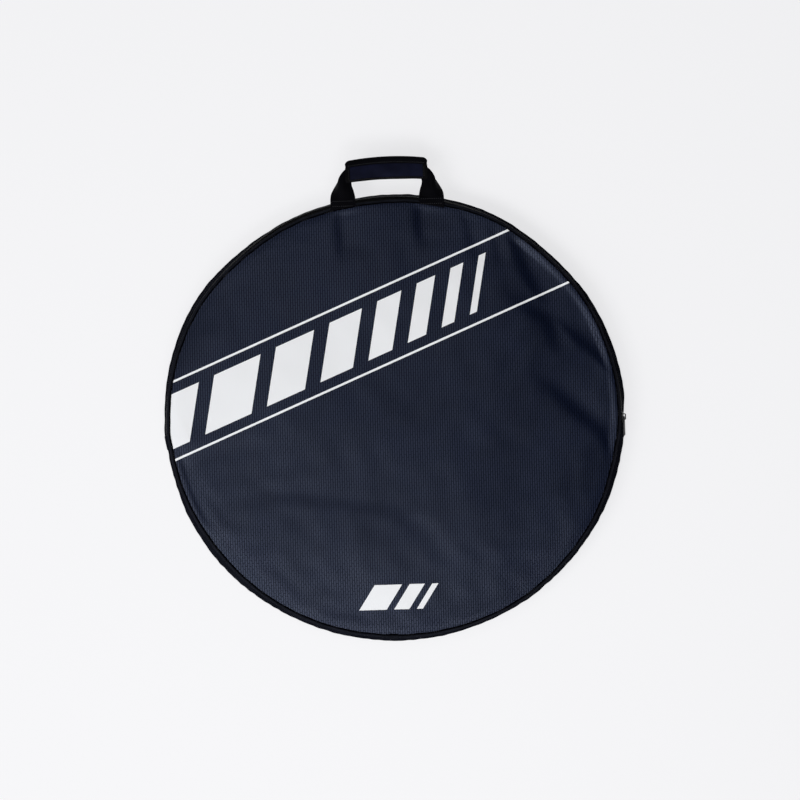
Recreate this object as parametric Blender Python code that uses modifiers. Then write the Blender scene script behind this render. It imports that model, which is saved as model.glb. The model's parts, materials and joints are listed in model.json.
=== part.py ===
"""A round padded carry bag for one bicycle wheel, empty and zipped shut, lying on its back.

The origin is the middle of the rear face, +Z points out of the front face and the carry
handle lies towards +Y. The zip runs over the top of the side wall, from three o'clock to
nine o'clock, so the upper part of the front panel folds down as a flap.
"""

import math

import bmesh
import bpy
from mathutils import Matrix, Vector

# Driving sizes of the bag, in metres
OUTER_RADIUS = 0.370
BULGE = 0.0115
BAG_DEPTH = 0.0547
CROWN = 0.0065
LOWER_SHARE = 0.937
SEGMENTS = 64

# Clearances
GAP = 0.0003
RUNNING_GAP = 0.0005
MERGE = 0.00001
OVERRUN = 0.010

# Sheet goods, by thickness
FABRIC = 0.0012
LINING = 0.0008
PANEL_FOAM = 0.005
WALL_FOAM = 0.004
TAPE = 0.0008
BINDING = 0.0009

# Side wall and the bound seams that join it to the two panels
SEAM_RADIUS = OUTER_RADIUS - BULGE
SEAM_ALLOWANCE = 0.0055
FRONT_ALLOWANCE = 0.0035
REAR_LIFT = 0.0020
REAR_RAMP = 0.010
WALL_LEAN = math.radians(20)
WALL_START = math.radians(40)
WALL_START_PULL = 0.009
WALL_END_PULL = 0.010
WALL_STEPS = 4
BINDING_COVER = 0.0012
FRONT_TUCK = 0.0026
REAR_TUCK = 0.0046
WALL_PAD_INSET = 0.0045

# Zip: half widths are measured across the zip from its middle
ZIP_DROP = 0.0165
ZIP_OVERRUN = 0.012
SLIT = 0.0011
COIL_EDGE = 0.0037
COIL_HEIGHT = 0.0022
TAPE_EDGE = 0.0125
WALL_EDGE = 0.0064
WALL_FOOT = 0.0140
TAB_HALF_WIDTH = 0.009
TAB_THICKNESS = 0.0011
TAB_START = 0.0098
TAB_END = 0.033

# Front panel: the flap folds along a straight chord above the hub guard
FOLD_Y = 0.075
FOLD_LIFT = 0.0002
CROWN_STATION_SHARES = (0.0, 0.6, 1.0)
PAD_INSET = 0.006
HUB_GUARD_RADIUS = 0.065
HUB_GUARD = 0.0015
GUARD_SEGMENTS = 32

# Slider and pull
SLIDER_HALF_LENGTH = 0.0080
SLIDER_TAIL_SHARE = 0.62
SLIDER_NOSE_SHARE = 0.55
SLIDER_PLATE = 0.0012
LIP = 0.0013
LIP_FOOT = 0.0006
POST_HALF_WIDTH = 0.00070
POST_START = 0.0030
POST_LENGTH = 0.0032
BAIL_HALF_LENGTH = 0.0052
BAIL_HALF_WIDTH = 0.0015
BAIL_WALL = 0.0014
BAIL_RISE = 0.0046
PULL_BAR_RADIUS = 0.0008
PULL_ARM = 0.0012
PULL_THICKNESS = 0.0016
PULL_ARM_LENGTH = 0.0085
PULL_HALF_WIDTH = 0.0040
PULL_LENGTH = 0.030
PULL_HOLE_RADIUS = 0.0017

# Handle: straps of folded webbing that run into a padded grip
WEBBING_WIDTH = 0.040
WEBBING = 0.0025
STRAP_SPACING = 0.1415
STRAP_LAP = 0.0015
HANDLE_RISE = 0.0575
GRIP_LENGTH = 0.1312
GRIP_WIDTH = 0.0372
GRIP_DROP = 0.0075
FOLDED_SHARE = 0.5
TURN_RADIUS = 0.014
TURN_STEPS = 4
STRAP_LEVEL_SHARE = 0.30
STRAP_THICKEN_SHARE = 0.45
STRAP_STATION_SHARES = ((0.0, 1.0), (0.24, 0.96), (0.45, 0.86), (0.60, 0.68), (0.70, 0.54))
STRAP_LEAN = 0.0029

# Grip layers, from the webbing out
CORE_ROOM = 0.0003
GRIP_FOAM_END_INSET = 0.0156
GRIP_COVER_END_INSET = 0.0136
GRIP_FOAM_HALF_HEIGHT = 0.0056
GRIP_FOAM_CORNER = 0.0050
GRIP_COVER = 0.0014
GRIP_BAND = 0.0020
COVER_SLIT = 0.0006
COVER_SLIT_Y = -0.004
CORNER_STEPS = 4
BAND_REACH = 0.0116
BAND_FOOT = 0.0025
CLOSURE_STRIP = 0.0008
CLOSURE_WIDTH = 0.012
CLOSURE_END_MARGIN = 0.006
CLOSURE_Y = -0.003
LEAF = 0.0016
LEAF_BINDING = 0.0008
LEAF_BINDING_WIDTH = 0.0036
LEAF_END_BINDING_WIDTH = 0.0075
LEAF_AXIS_GAP = 0.0004

# Heights of the stacked seam layers, worked out from the sizes above
REAR_FLANGE_TOP = REAR_LIFT + FABRIC
WALL_FLANGE_LOW = REAR_FLANGE_TOP + GAP
WALL_FLANGE_LOW_TOP = WALL_FLANGE_LOW + FABRIC
FRONT_FLANGE_LOW = BAG_DEPTH - FABRIC
WALL_FLANGE_HIGH_TOP = FRONT_FLANGE_LOW - GAP
WALL_FLANGE_HIGH = WALL_FLANGE_HIGH_TOP - FABRIC
FLANGE_RADIUS = SEAM_RADIUS + SEAM_ALLOWANCE
FRONT_FLANGE_RADIUS = SEAM_RADIUS + FRONT_ALLOWANCE
ZIP_RADIUS = SEAM_RADIUS + ZIP_DROP * math.sin(WALL_LEAN)
ZIP_HEIGHT = WALL_FLANGE_HIGH - ZIP_DROP * math.cos(WALL_LEAN)
PANEL_RADIUS = SEAM_RADIUS - BINDING_COVER
PAD_RADIUS = PANEL_RADIUS - PAD_INSET
COIL_LOW = GAP
COIL_TOP = COIL_LOW + COIL_HEIGHT

COLOURS = {
    "navy_fabric": ((0.022, 0.027, 0.046, 1.0), 0.75, 0.0),
    "grip_fabric": ((0.009, 0.010, 0.030, 1.0), 0.8, 0.0),
    "black_webbing": ((0.010, 0.010, 0.012, 1.0), 0.7, 0.0),
    "black_binding": ((0.014, 0.014, 0.017, 1.0), 0.8, 0.0),
    "grey_foam": ((0.12, 0.12, 0.13, 1.0), 0.95, 0.0),
    "grey_lining": ((0.16, 0.17, 0.19, 1.0), 0.6, 0.0),
    "zip_tape": ((0.012, 0.012, 0.014, 1.0), 0.85, 0.0),
    "zip_coil": ((0.020, 0.020, 0.022, 1.0), 0.4, 0.0),
    "black_metal": ((0.030, 0.030, 0.032, 1.0), 0.35, 0.9),
    "guard_plastic": ((0.030, 0.030, 0.033, 1.0), 0.5, 0.0),
    "hook_and_loop": ((0.012, 0.012, 0.013, 1.0), 0.95, 0.0),
}


def clear_scene():
    for item in list(bpy.data.objects):
        bpy.data.objects.remove(item, do_unlink=True)


def make_collection(name):
    collection = bpy.data.collections.new(name)
    bpy.context.scene.collection.children.link(collection)
    return collection


def make_materials():
    materials = {}
    for name, (colour, roughness, metallic) in COLOURS.items():
        made = bpy.data.materials.new(name)
        made.use_nodes = True
        shader = made.node_tree.nodes["Principled BSDF"]
        shader.inputs["Base Color"].default_value = colour
        shader.inputs["Roughness"].default_value = roughness
        shader.inputs["Metallic"].default_value = metallic
        made.diffuse_color = colour
        materials[name] = made
    return materials


clear_scene()
BAG = make_collection("wheel_bag")
CUTTERS = make_collection("cutters")
MATERIALS = make_materials()


def make_empty(name, place, parent=None):
    """An empty on a joint's axis; its place is given in the world."""
    empty = bpy.data.objects.new(name, None)
    empty.empty_display_size = OVERRUN
    BAG.objects.link(empty)
    empty.parent = parent
    origin = empty_place(parent)
    empty.location = Vector(place) - origin
    return empty


def empty_place(empty):
    place = Vector((0, 0, 0))
    while empty is not None:
        place += empty.location
        empty = empty.parent
    return place


def make_object(name, shape, material, pivot=None):
    """Turn a bmesh in world coordinates into a named piece, carried by its joint's empty."""
    bmesh.ops.recalc_face_normals(shape, faces=shape.faces)
    mesh = bpy.data.meshes.new(name)
    shape.to_mesh(mesh)
    shape.free()
    mesh.transform(Matrix.Translation(-empty_place(pivot)))
    mesh.materials.append(MATERIALS[material])
    mesh.shade_smooth()
    mesh.set_sharp_from_angle(angle=math.radians(35))
    piece = bpy.data.objects.new(name, mesh)
    BAG.objects.link(piece)
    piece.parent = pivot
    return piece


# Profiles in the (radius, height) plane of the rim

def zip_point(across, out):
    """A point on the leaning part of the wall: across is up the wall from the zip's middle."""
    radius = ZIP_RADIUS - across * math.sin(WALL_LEAN) + out * math.cos(WALL_LEAN)
    height = ZIP_HEIGHT + across * math.cos(WALL_LEAN) + out * math.sin(WALL_LEAN)
    return (radius, height)


def wall_seat(top):
    """The face that the layers of the wall are laid on, from the rear seam up to `top`."""
    lean = Vector((-math.sin(WALL_LEAN), math.cos(WALL_LEAN)))
    heading = Vector((math.cos(WALL_START), math.sin(WALL_START)))
    start = Vector((SEAM_RADIUS, WALL_FLANGE_LOW_TOP))
    foot = Vector(zip_point(-WALL_FOOT, 0))
    first_pull = start + heading * WALL_START_PULL
    last_pull = foot - lean * WALL_END_PULL
    points = [tuple(start - heading * SEAM_ALLOWANCE)]
    for step in range(WALL_STEPS + 1):
        share = step / WALL_STEPS
        rest = 1 - share
        point = rest ** 3 * start + 3 * rest ** 2 * share * first_pull
        point += 3 * rest * share ** 2 * last_pull + share ** 3 * foot
        points.append(tuple(point))
    points.append(zip_point(top, 0))
    return points


def offset(points, out):
    """The line that runs beside `points`, moved outwards from the bag by `out`."""
    moved = []
    last = len(points) - 1
    for index, point in enumerate(points):
        before = Vector(points[max(index - 1, 0)])
        after = Vector(points[min(index + 1, last)])
        normals = []
        for start, end in ((before, Vector(point)), (Vector(point), after)):
            run = end - start
            if run.length > MERGE:
                normals.append(Vector((run.y, -run.x)).normalized())
        normal = sum(normals, Vector((0, 0))).normalized()
        reach = out / max(normal.dot(normals[0]), 0.5)
        moved.append(tuple(Vector(point) + normal * reach))
    return moved


def between(points, low, high):
    """The part of a rising line between two heights, with its ends worked out."""
    kept = []
    for (radius, height), (next_radius, next_height) in zip(points, points[1:]):
        rise = next_height - height
        for limit in (low, high):
            if height < limit < next_height:
                share = (limit - height) / rise
                kept.append((radius + share * (next_radius - radius), limit))
        if low <= next_height <= high:
            kept.append((next_radius, next_height))
    return sorted(set(kept), key=lambda point: point[1])


def panel_height(radius):
    """Height of the front panel's outer face, a shallow dome of straight stations."""
    stations = [share * PANEL_RADIUS for share in CROWN_STATION_SHARES]
    heights = [BAG_DEPTH + CROWN * (1 - share ** 2) for share in CROWN_STATION_SHARES]
    for index in range(len(stations) - 1):
        if radius <= stations[index + 1]:
            share = (radius - stations[index]) / (stations[index + 1] - stations[index])
            return heights[index] + share * (heights[index + 1] - heights[index])
    return heights[-1]


def dome_line(edge_radius, depth):
    """Points of a layer of the front panel, from the middle out, `depth` under its face."""
    radii = [share * PANEL_RADIUS for share in CROWN_STATION_SHARES]
    radii = [radius for radius in radii if radius < edge_radius] + [edge_radius]
    return [(radius, panel_height(radius) - depth) for radius in radii]


# Turned and cut solids

def turned(outline, segments=SEGMENTS):
    """Spin an outline about the bag's middle; an outline that ends on the axis stays open."""
    shape = bmesh.new()
    corners = [shape.verts.new((radius, 0, height)) for radius, height in outline]
    pairs = list(zip(corners, corners[1:]))
    if outline[0][0] > 0:
        pairs.append((corners[-1], corners[0]))
    edges = [shape.edges.new(pair) for pair in pairs]
    bmesh.ops.spin(
        shape,
        geom=corners + edges,
        cent=(0, 0, 0),
        axis=(0, 0, 1),
        angle=math.tau,
        steps=segments,
        use_merge=True,
    )
    bmesh.ops.remove_doubles(shape, verts=shape.verts, dist=MERGE)
    bmesh.ops.recalc_face_normals(shape, faces=shape.faces)
    return shape


def keep(shape, above=None, below=None, axis=1):
    """Cut a solid by flat planes square to an axis, and close the cuts."""
    for limit, clear_inner in ((above, True), (below, False)):
        if limit is None:
            continue
        place = Vector((0, 0, 0))
        place[axis] = limit
        facing = Vector((0, 0, 0))
        facing[axis] = 1
        bmesh.ops.bisect_plane(
            shape,
            geom=shape.verts[:] + shape.edges[:] + shape.faces[:],
            dist=MERGE / 10,
            plane_co=place,
            plane_no=facing,
            clear_inner=clear_inner,
            clear_outer=not clear_inner,
        )
        rim = [edge for edge in shape.edges if edge.is_boundary]
        bmesh.ops.edgeloop_fill(shape, edges=rim)
    bmesh.ops.recalc_face_normals(shape, faces=shape.faces)
    return shape


def drawn_in(shape):
    """The soft bag is a little shallower below its middle than above it."""
    for corner in shape.verts:
        if corner.co.y < 0:
            corner.co.y *= LOWER_SHARE
    return shape


def ring(name, outline, material, above=None, below=None, pivot=None):
    shape = drawn_in(keep(turned(outline), above, below))
    return make_object(name, shape, material, pivot)


def slab(outline, low, high, frame=None):
    """Extrude a flat outline between two heights, then place it by a matrix."""
    shape = bmesh.new()
    corners = [shape.verts.new((x, y, low)) for x, y in outline]
    face = shape.faces.new(corners)
    grown = bmesh.ops.extrude_face_region(shape, geom=[face])
    moved = [item for item in grown["geom"] if isinstance(item, bmesh.types.BMVert)]
    bmesh.ops.translate(shape, verts=moved, vec=(0, 0, high - low))
    bmesh.ops.recalc_face_normals(shape, faces=shape.faces)
    if frame is not None:
        bmesh.ops.transform(shape, matrix=frame, verts=shape.verts)
    return shape


def box(low, high, frame=None):
    outline = ((low[0], low[1]), (high[0], low[1]), (high[0], high[1]), (low[0], high[1]))
    return slab(outline, low[2], high[2], frame)


def hide_tool(tool):
    BAG.objects.unlink(tool)
    CUTTERS.objects.link(tool)
    tool.hide_render = True
    tool.display_type = "WIRE"


def combine(name, shapes, material, operation, pivot=None):
    """Join the first shape with the others, or cut them out of it, as one closed body."""
    piece = make_object(name, shapes[0], material, pivot)
    for number, shape in enumerate(shapes[1:]):
        tool = make_object(name + "_tool_" + str(number), shape, material, pivot)
        hide_tool(tool)
        change = piece.modifiers.new(operation.lower() + "_" + str(number), "BOOLEAN")
        change.operation = operation
        change.solver = "EXACT"
        change.object = tool
    return piece


# The rear panel and its lining

def build_rear_panel():
    flat_radius = SEAM_RADIUS - REAR_RAMP
    ramp_end = SEAM_RADIUS - REAR_RAMP / 4
    outline = (
        (0, 0),
        (flat_radius, 0),
        (ramp_end, REAR_LIFT),
        (FLANGE_RADIUS, REAR_LIFT),
        (FLANGE_RADIUS, REAR_FLANGE_TOP),
        (ramp_end, REAR_FLANGE_TOP),
        (flat_radius, FABRIC),
        (0, FABRIC),
    )
    ring("rear_panel_shell", outline, "navy_fabric")
    foam_low = FABRIC + GAP
    foam_top = foam_low + PANEL_FOAM
    foam_radius = flat_radius - GAP
    foam = ((0, foam_low), (foam_radius, foam_low), (foam_radius, foam_top), (0, foam_top))
    ring("rear_panel_foam", foam, "grey_foam")
    lining_low = foam_top + GAP
    lining_top = lining_low + LINING
    lining_radius = SEAM_RADIUS - REAR_RAMP / 2
    lining = (
        (0, lining_low),
        (lining_radius, lining_low),
        (lining_radius, lining_top),
        (0, lining_top),
    )
    ring("rear_panel_lining", lining, "grey_lining")
    build_hub_guard("rear_hub_guard", lining_top + GAP)
    return lining_top


def build_hub_guard(name, low):
    bevel = HUB_GUARD / 3
    outline = (
        (0, low),
        (HUB_GUARD_RADIUS - bevel, low),
        (HUB_GUARD_RADIUS, low + bevel),
        (HUB_GUARD_RADIUS, low + HUB_GUARD - bevel),
        (HUB_GUARD_RADIUS - bevel, low + HUB_GUARD),
        (0, low + HUB_GUARD),
    )
    make_object(name, drawn_in(turned(outline, GUARD_SEGMENTS)), "guard_plastic")


# The side wall: one strip under the zip, and a deeper one round the closed lower half

def wall_shell_outline(top=None):
    """Fabric strip with its rear seam flange, and the front one where `top` is not given."""
    seat = wall_seat(ZIP_DROP + SEAM_ALLOWANCE if top is None else top)
    inner = offset(seat, GAP)
    outer = offset(seat, GAP + FABRIC)
    high = WALL_FLANGE_HIGH_TOP if top is None else BAG_DEPTH
    inner = between(inner, WALL_FLANGE_LOW, high)
    outer = between(outer, WALL_FLANGE_LOW_TOP, WALL_FLANGE_HIGH if top is None else high)
    flange = [(FLANGE_RADIUS, WALL_FLANGE_LOW_TOP), (FLANGE_RADIUS, WALL_FLANGE_LOW)]
    if top is not None:
        return flange + inner + outer[::-1]
    edge = FRONT_FLANGE_RADIUS
    front = [(edge, WALL_FLANGE_HIGH_TOP), (edge, WALL_FLANGE_HIGH)]
    return flange + inner + front + outer[::-1]


def wall_pad_outline(top, outside, thickness, low):
    """A layer inside the wall, between a height above the rear panel and `top`."""
    seat = wall_seat(top)
    outer = between(offset(seat, -outside), low, BAG_DEPTH)
    inner = between(offset(seat, -outside - thickness), low, BAG_DEPTH)
    return inner + outer[::-1]


def build_wall(floor):
    joint_y = -ZIP_OVERRUN
    low = floor + GAP
    foam_low = floor + GAP
    deep_top = ZIP_DROP - WALL_PAD_INSET - LINING - WALL_FOAM
    pads = (
        ("gusset_top", -TAPE_EDGE - GAP, joint_y + GAP / 2, None),
        ("gusset_bottom", deep_top, None, joint_y - GAP / 2),
    )
    for name, top, above, below in pads:
        foam = wall_pad_outline(top, 0, WALL_FOAM, foam_low)
        ring(name + "_foam", foam, "grey_foam", above, below)
        lining = wall_pad_outline(top, WALL_FOAM + GAP, LINING, low)
        ring(name + "_lining", lining, "grey_lining", above, below)
    shell = wall_shell_outline(-WALL_EDGE)
    ring("gusset_top_shell", shell, "black_binding", joint_y + GAP / 2, None)
    shell = wall_shell_outline()
    ring("gusset_bottom_shell", shell, "black_binding", None, joint_y - GAP / 2)


# Folded tape that binds the raw edges of a seam

def binding_outline(edge, low, high, tuck, long_leg_on_top):
    """A U of tape round a seam whose stacked flanges lie between two heights.

    Its short leg stops `tuck` outside the seam, where the bulging wall leaves the flange.
    """
    inside = edge + GAP
    outside = inside + BINDING
    long_edge = SEAM_RADIUS - BINDING_COVER
    short_edge = SEAM_RADIUS + tuck
    under_edge = short_edge if long_leg_on_top else long_edge
    over_edge = long_edge if long_leg_on_top else short_edge
    return (
        (under_edge, low - GAP - BINDING),
        (outside, low - GAP - BINDING),
        (outside, high + GAP + BINDING),
        (over_edge, high + GAP + BINDING),
        (over_edge, high + GAP),
        (inside, high + GAP),
        (inside, low - GAP),
        (under_edge, low - GAP),
    )


def build_bindings(flap):
    rear = binding_outline(FLANGE_RADIUS, REAR_LIFT, WALL_FLANGE_LOW_TOP, REAR_TUCK, False)
    ring("rear_edge_binding", rear, "black_binding")
    front = binding_outline(FRONT_FLANGE_RADIUS, WALL_FLANGE_HIGH, BAG_DEPTH, FRONT_TUCK, True)
    ring("front_edge_binding", front, "black_binding", None, FOLD_Y - GAP / 2)
    ring("flap_edge_binding", front, "black_binding", FOLD_Y + GAP / 2, None, flap)


# The front panel in three layers, split where the flap folds

def build_front_panel(flap):
    layers = (
        ("shell", "navy_fabric", PANEL_RADIUS, 0, FABRIC),
        ("foam", "grey_foam", PAD_RADIUS, FABRIC + GAP, PANEL_FOAM),
        ("lining", "grey_lining", PAD_RADIUS, FABRIC + PANEL_FOAM + GAP + GAP, LINING),
    )
    for layer, material, radius, depth, thickness in layers:
        face = dome_line(radius, depth)
        back = dome_line(radius, depth + thickness)
        if layer == "shell":
            face.append((FRONT_FLANGE_RADIUS, BAG_DEPTH))
            back.append((FRONT_FLANGE_RADIUS, FRONT_FLANGE_LOW))
        outline = back + face[::-1]
        ring("front_panel_" + layer, outline, material, None, FOLD_Y - GAP / 2)
        ring("flap_" + layer, outline, material, FOLD_Y + GAP / 2, None, flap)
    stack = FABRIC + PANEL_FOAM + LINING + GAP * len(layers)
    build_hub_guard("front_hub_guard", panel_height(HUB_GUARD_RADIUS) - stack - HUB_GUARD)


# The zip: two tapes with their coils, cut where the flap leaves the fixed part

def strip_outline(start, end, low, high):
    """A flat layer on the leaning wall, between two distances across the zip."""
    corners = ((start, low), (end, low), (end, high), (start, high))
    return tuple(zip_point(across, out) for across, out in corners)


def upper_tape_outline():
    """The tape that is sewn into the front seam, with its turned-out edge."""
    seam_low = WALL_FLANGE_HIGH_TOP - TAPE
    seat = [zip_point(SLIT, 0), zip_point(ZIP_DROP + SEAM_ALLOWANCE, 0)]
    back = [zip_point(SLIT, -TAPE), zip_point(ZIP_DROP + SEAM_ALLOWANCE, -TAPE)]
    face = [seat[0]] + between(seat, seat[0][1], seam_low)
    rear = [back[0]] + between(back, back[0][1], WALL_FLANGE_HIGH_TOP)
    edge = FRONT_FLANGE_RADIUS
    flange = [(edge, WALL_FLANGE_HIGH_TOP), (edge, seam_low)]
    return rear + flange + face[::-1]


def build_zip(flap):
    start_y = -ZIP_OVERRUN + GAP / 2
    lower_tape = strip_outline(-TAPE_EDGE, -SLIT, -TAPE, 0)
    ring("zip_tape_lower", lower_tape, "zip_tape", start_y)
    lower_coil = strip_outline(-COIL_EDGE, -SLIT, COIL_LOW, COIL_TOP)
    ring("zip_coil_lower", lower_coil, "zip_coil", start_y)
    upper = (
        ("zip_tape", upper_tape_outline()),
        ("zip_coil", strip_outline(SLIT, COIL_EDGE, COIL_LOW, COIL_TOP)),
    )
    for name, outline in upper:
        both_sides(name + "_end", outline, name, start_y, FOLD_Y - GAP / 2)
        ring(name + "_upper", outline, name, FOLD_Y + GAP / 2, None, flap)
    tab_low = COIL_TOP + GAP
    tab = strip_outline(-TAB_HALF_WIDTH, TAB_HALF_WIDTH, tab_low, tab_low + TAB_THICKNESS)
    both_sides("zip_end_tab", tab, "black_binding", -TAB_END, -TAB_START)


def both_sides(name, outline, material, above, below):
    """A short length of a ring at the right end of the zip, and its twin at the left end."""
    for side, low, high in (("_right", 0, None), ("_left", None, 0)):
        shape = keep(turned(outline), above, below)
        make_object(name + side, drawn_in(keep(shape, low, high, axis=0)), material)


# The slider rides at three o'clock, below the fold, and turns about the bag's middle

def zip_frame():
    """Local axes at three o'clock: x along the zip, y across it, z out of the wall."""
    along = Vector((0, 1, 0))
    across = Vector((-math.sin(WALL_LEAN), 0, math.cos(WALL_LEAN)))
    out = Vector((math.cos(WALL_LEAN), 0, math.sin(WALL_LEAN)))
    turn = Matrix((along, across, out)).transposed().to_4x4()
    return Matrix.Translation((ZIP_RADIUS, 0, ZIP_HEIGHT)) @ turn


def slider_sizes():
    lip_in = COIL_EDGE + RUNNING_GAP
    plate_low = COIL_TOP + RUNNING_GAP
    return lip_in, lip_in + LIP, plate_low, plate_low + SLIDER_PLATE


def build_slider(pivot):
    frame = zip_frame()
    lip_in, half_width, plate_low, plate_top = slider_sizes()
    nose = half_width * SLIDER_NOSE_SHARE
    tail = half_width * SLIDER_TAIL_SHARE
    shoulder = SLIDER_HALF_LENGTH * SLIDER_NOSE_SHARE
    outline = (
        (-SLIDER_HALF_LENGTH, -tail),
        (-shoulder, -half_width),
        (shoulder, -half_width),
        (SLIDER_HALF_LENGTH, -nose),
        (SLIDER_HALF_LENGTH, nose),
        (shoulder, half_width),
        (-shoulder, half_width),
        (-SLIDER_HALF_LENGTH, tail),
    )
    under_top = -TAPE - RUNNING_GAP
    under_low = under_top - SLIDER_PLATE
    bite = SLIDER_PLATE / 2
    post_low = (POST_START, -POST_HALF_WIDTH, under_top - bite)
    post_high = (POST_START + POST_LENGTH, POST_HALF_WIDTH, plate_low + bite)
    shapes = [
        slab(outline, plate_low, plate_top, frame),
        slab(outline, under_low, under_top, frame),
        box(post_low, post_high, frame),
    ]
    lip_out = half_width - bite / 2
    for side in (-1, 1):
        edges = sorted((side * lip_in, side * lip_out))
        lip_low = (bite - shoulder, edges[0], LIP_FOOT)
        shapes.append(box(lip_low, (shoulder - bite, edges[1], plate_low + bite), frame))
    bail_top = plate_top + BAIL_RISE
    bail_in = BAIL_HALF_LENGTH - BAIL_WALL
    arch = (
        (-BAIL_HALF_LENGTH, plate_top - bite),
        (-BAIL_HALF_LENGTH, bail_top - BAIL_WALL),
        (-bail_in, bail_top),
        (bail_in, bail_top),
        (BAIL_HALF_LENGTH, bail_top - BAIL_WALL),
        (BAIL_HALF_LENGTH, plate_top - bite),
        (bail_in, plate_top - bite),
        (bail_in, bail_top - BAIL_WALL),
        (-bail_in, bail_top - BAIL_WALL),
        (-bail_in, plate_top - bite),
    )
    upright = frame @ Matrix.Rotation(math.pi / 2, 4, "X")
    shapes.append(slab(arch, -BAIL_HALF_WIDTH, BAIL_HALF_WIDTH, upright))
    combine("zip_slider", shapes, "black_metal", "UNION", pivot)


def pull_height():
    return slider_sizes()[3] + RUNNING_GAP + PULL_BAR_RADIUS


def pull_axis_place():
    return zip_frame() @ Vector((0, 0, pull_height()))


def build_pull(pivot):
    frame = zip_frame()
    arm_in = BAIL_HALF_WIDTH + RUNNING_GAP
    arm_out = arm_in + PULL_ARM
    middle = pull_height()
    low = middle - PULL_THICKNESS / 2
    high = middle + PULL_THICKNESS / 2
    bar = bmesh.new()
    bmesh.ops.create_cone(
        bar,
        cap_ends=True,
        segments=10,
        radius1=PULL_BAR_RADIUS,
        radius2=PULL_BAR_RADIUS,
        depth=arm_in + arm_out,
    )
    lay_down = Matrix.Translation((0, 0, middle)) @ Matrix.Rotation(math.pi / 2, 4, "X")
    bmesh.ops.transform(bar, matrix=frame @ lay_down, verts=bar.verts)
    corner = PULL_HALF_WIDTH / 2
    tab = (
        (-PULL_ARM_LENGTH, -arm_out),
        (-PULL_ARM_LENGTH, arm_out),
        (-PULL_ARM_LENGTH - corner, PULL_HALF_WIDTH),
        (corner - PULL_LENGTH, PULL_HALF_WIDTH),
        (-PULL_LENGTH, corner),
        (-PULL_LENGTH, -corner),
        (corner - PULL_LENGTH, -PULL_HALF_WIDTH),
        (-PULL_ARM_LENGTH - corner, -PULL_HALF_WIDTH),
    )
    shapes = [slab(tab, low, high, frame), bar]
    for side in (-1, 1):
        edges = sorted((side * arm_in, side * arm_out))
        arm_low = (-PULL_ARM_LENGTH - corner, edges[0], low)
        shapes.append(box(arm_low, (0, edges[1], high), frame))
    pull = combine("zip_pull", shapes, "black_metal", "UNION", pivot)
    hole = bmesh.new()
    bmesh.ops.create_cone(
        hole,
        cap_ends=True,
        segments=12,
        radius1=PULL_HOLE_RADIUS,
        radius2=PULL_HOLE_RADIUS,
        depth=OVERRUN,
    )
    place = Matrix.Translation((PULL_HALF_WIDTH - PULL_LENGTH, 0, middle))
    bmesh.ops.transform(hole, matrix=frame @ place, verts=hole.verts)
    tool = make_object("zip_pull_hole", hole, "black_metal", pivot)
    hide_tool(tool)
    cut = pull.modifiers.new("hole", "BOOLEAN")
    cut.operation = "DIFFERENCE"
    cut.solver = "EXACT"
    cut.object = tool


# The handle: webbing straps that fold narrow and turn into the grip

STRAP_X = STRAP_SPACING / 2
STRAP_Y = math.sqrt(SEAM_RADIUS ** 2 - STRAP_X ** 2) - STRAP_LAP
STRAP_Z = BAG_DEPTH + GAP + BINDING + GAP + WEBBING / 2
GRIP_Y = OUTER_RADIUS + HANDLE_RISE - GRIP_WIDTH / 2
GRIP_Z = STRAP_Z - GRIP_DROP
FOLDED_WEBBING = WEBBING * 2 + GAP


def ease(share):
    share = min(max(share, 0), 1)
    return share * share * (3 - 2 * share)


def strap_sections():
    """Centre, direction, half width and half thickness of the right half of the webbing."""
    rise = GRIP_Y - STRAP_Y
    turn_start = rise - TURN_RADIUS
    sections = []

    def add(x, y, heading, width_share):
        share = (y - STRAP_Y) / turn_start
        drop = ease((share - STRAP_LEVEL_SHARE) / (1 - STRAP_LEVEL_SHARE))
        thicken = ease((share - STRAP_THICKEN_SHARE) / (1 - STRAP_THICKEN_SHARE))
        height = STRAP_Z - GRIP_DROP * drop
        thickness = WEBBING + (FOLDED_WEBBING - WEBBING) * thicken
        place = Vector((x, y, height))
        sections.append((place, heading, WEBBING_WIDTH * width_share / 2, thickness / 2))

    for rise_share, width_share in STRAP_STATION_SHARES:
        lean = STRAP_LEAN * rise_share
        add(STRAP_X - lean, STRAP_Y + rise * rise_share, Vector((0, 1, 0)), width_share)
    turn_x = STRAP_X - STRAP_LEAN - TURN_RADIUS
    turn_y = GRIP_Y - TURN_RADIUS
    for step in range(TURN_STEPS + 1):
        angle = math.pi / 2 * step / TURN_STEPS
        x = turn_x + TURN_RADIUS * math.cos(angle)
        y = turn_y + TURN_RADIUS * math.sin(angle)
        add(x, y, Vector((-math.sin(angle), math.cos(angle), 0)), FOLDED_SHARE)
    add(0, GRIP_Y, Vector((-1, 0, 0)), FOLDED_SHARE)
    return sections


def build_webbing(pivot):
    """Loft half of the webbing, from its flat sewn end to the folded middle, then mirror it."""
    shape = bmesh.new()
    loops = []
    for place, heading, half_width, half_thickness in strap_sections():
        side = Vector((heading.y, -heading.x, 0)) * half_width
        lift = Vector((0, 0, half_thickness))
        corners = (place - side - lift, place + side - lift, place + side + lift, place - side + lift)
        loops.append([shape.verts.new(corner) for corner in corners])
    shape.faces.new(loops[0][::-1])
    for loop, following in zip(loops, loops[1:]):
        for index in range(len(loop)):
            after = (index + 1) % len(loop)
            shape.faces.new((loop[index], loop[after], following[after], following[index]))
    webbing = make_object("handle_webbing", shape, "black_webbing", pivot)
    mirror = webbing.modifiers.new("mirror", "MIRROR")
    mirror.use_axis[0] = True
    mirror.merge_threshold = MERGE * 10
    return webbing


# The grip is a stack of layers extruded along the handle

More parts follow.
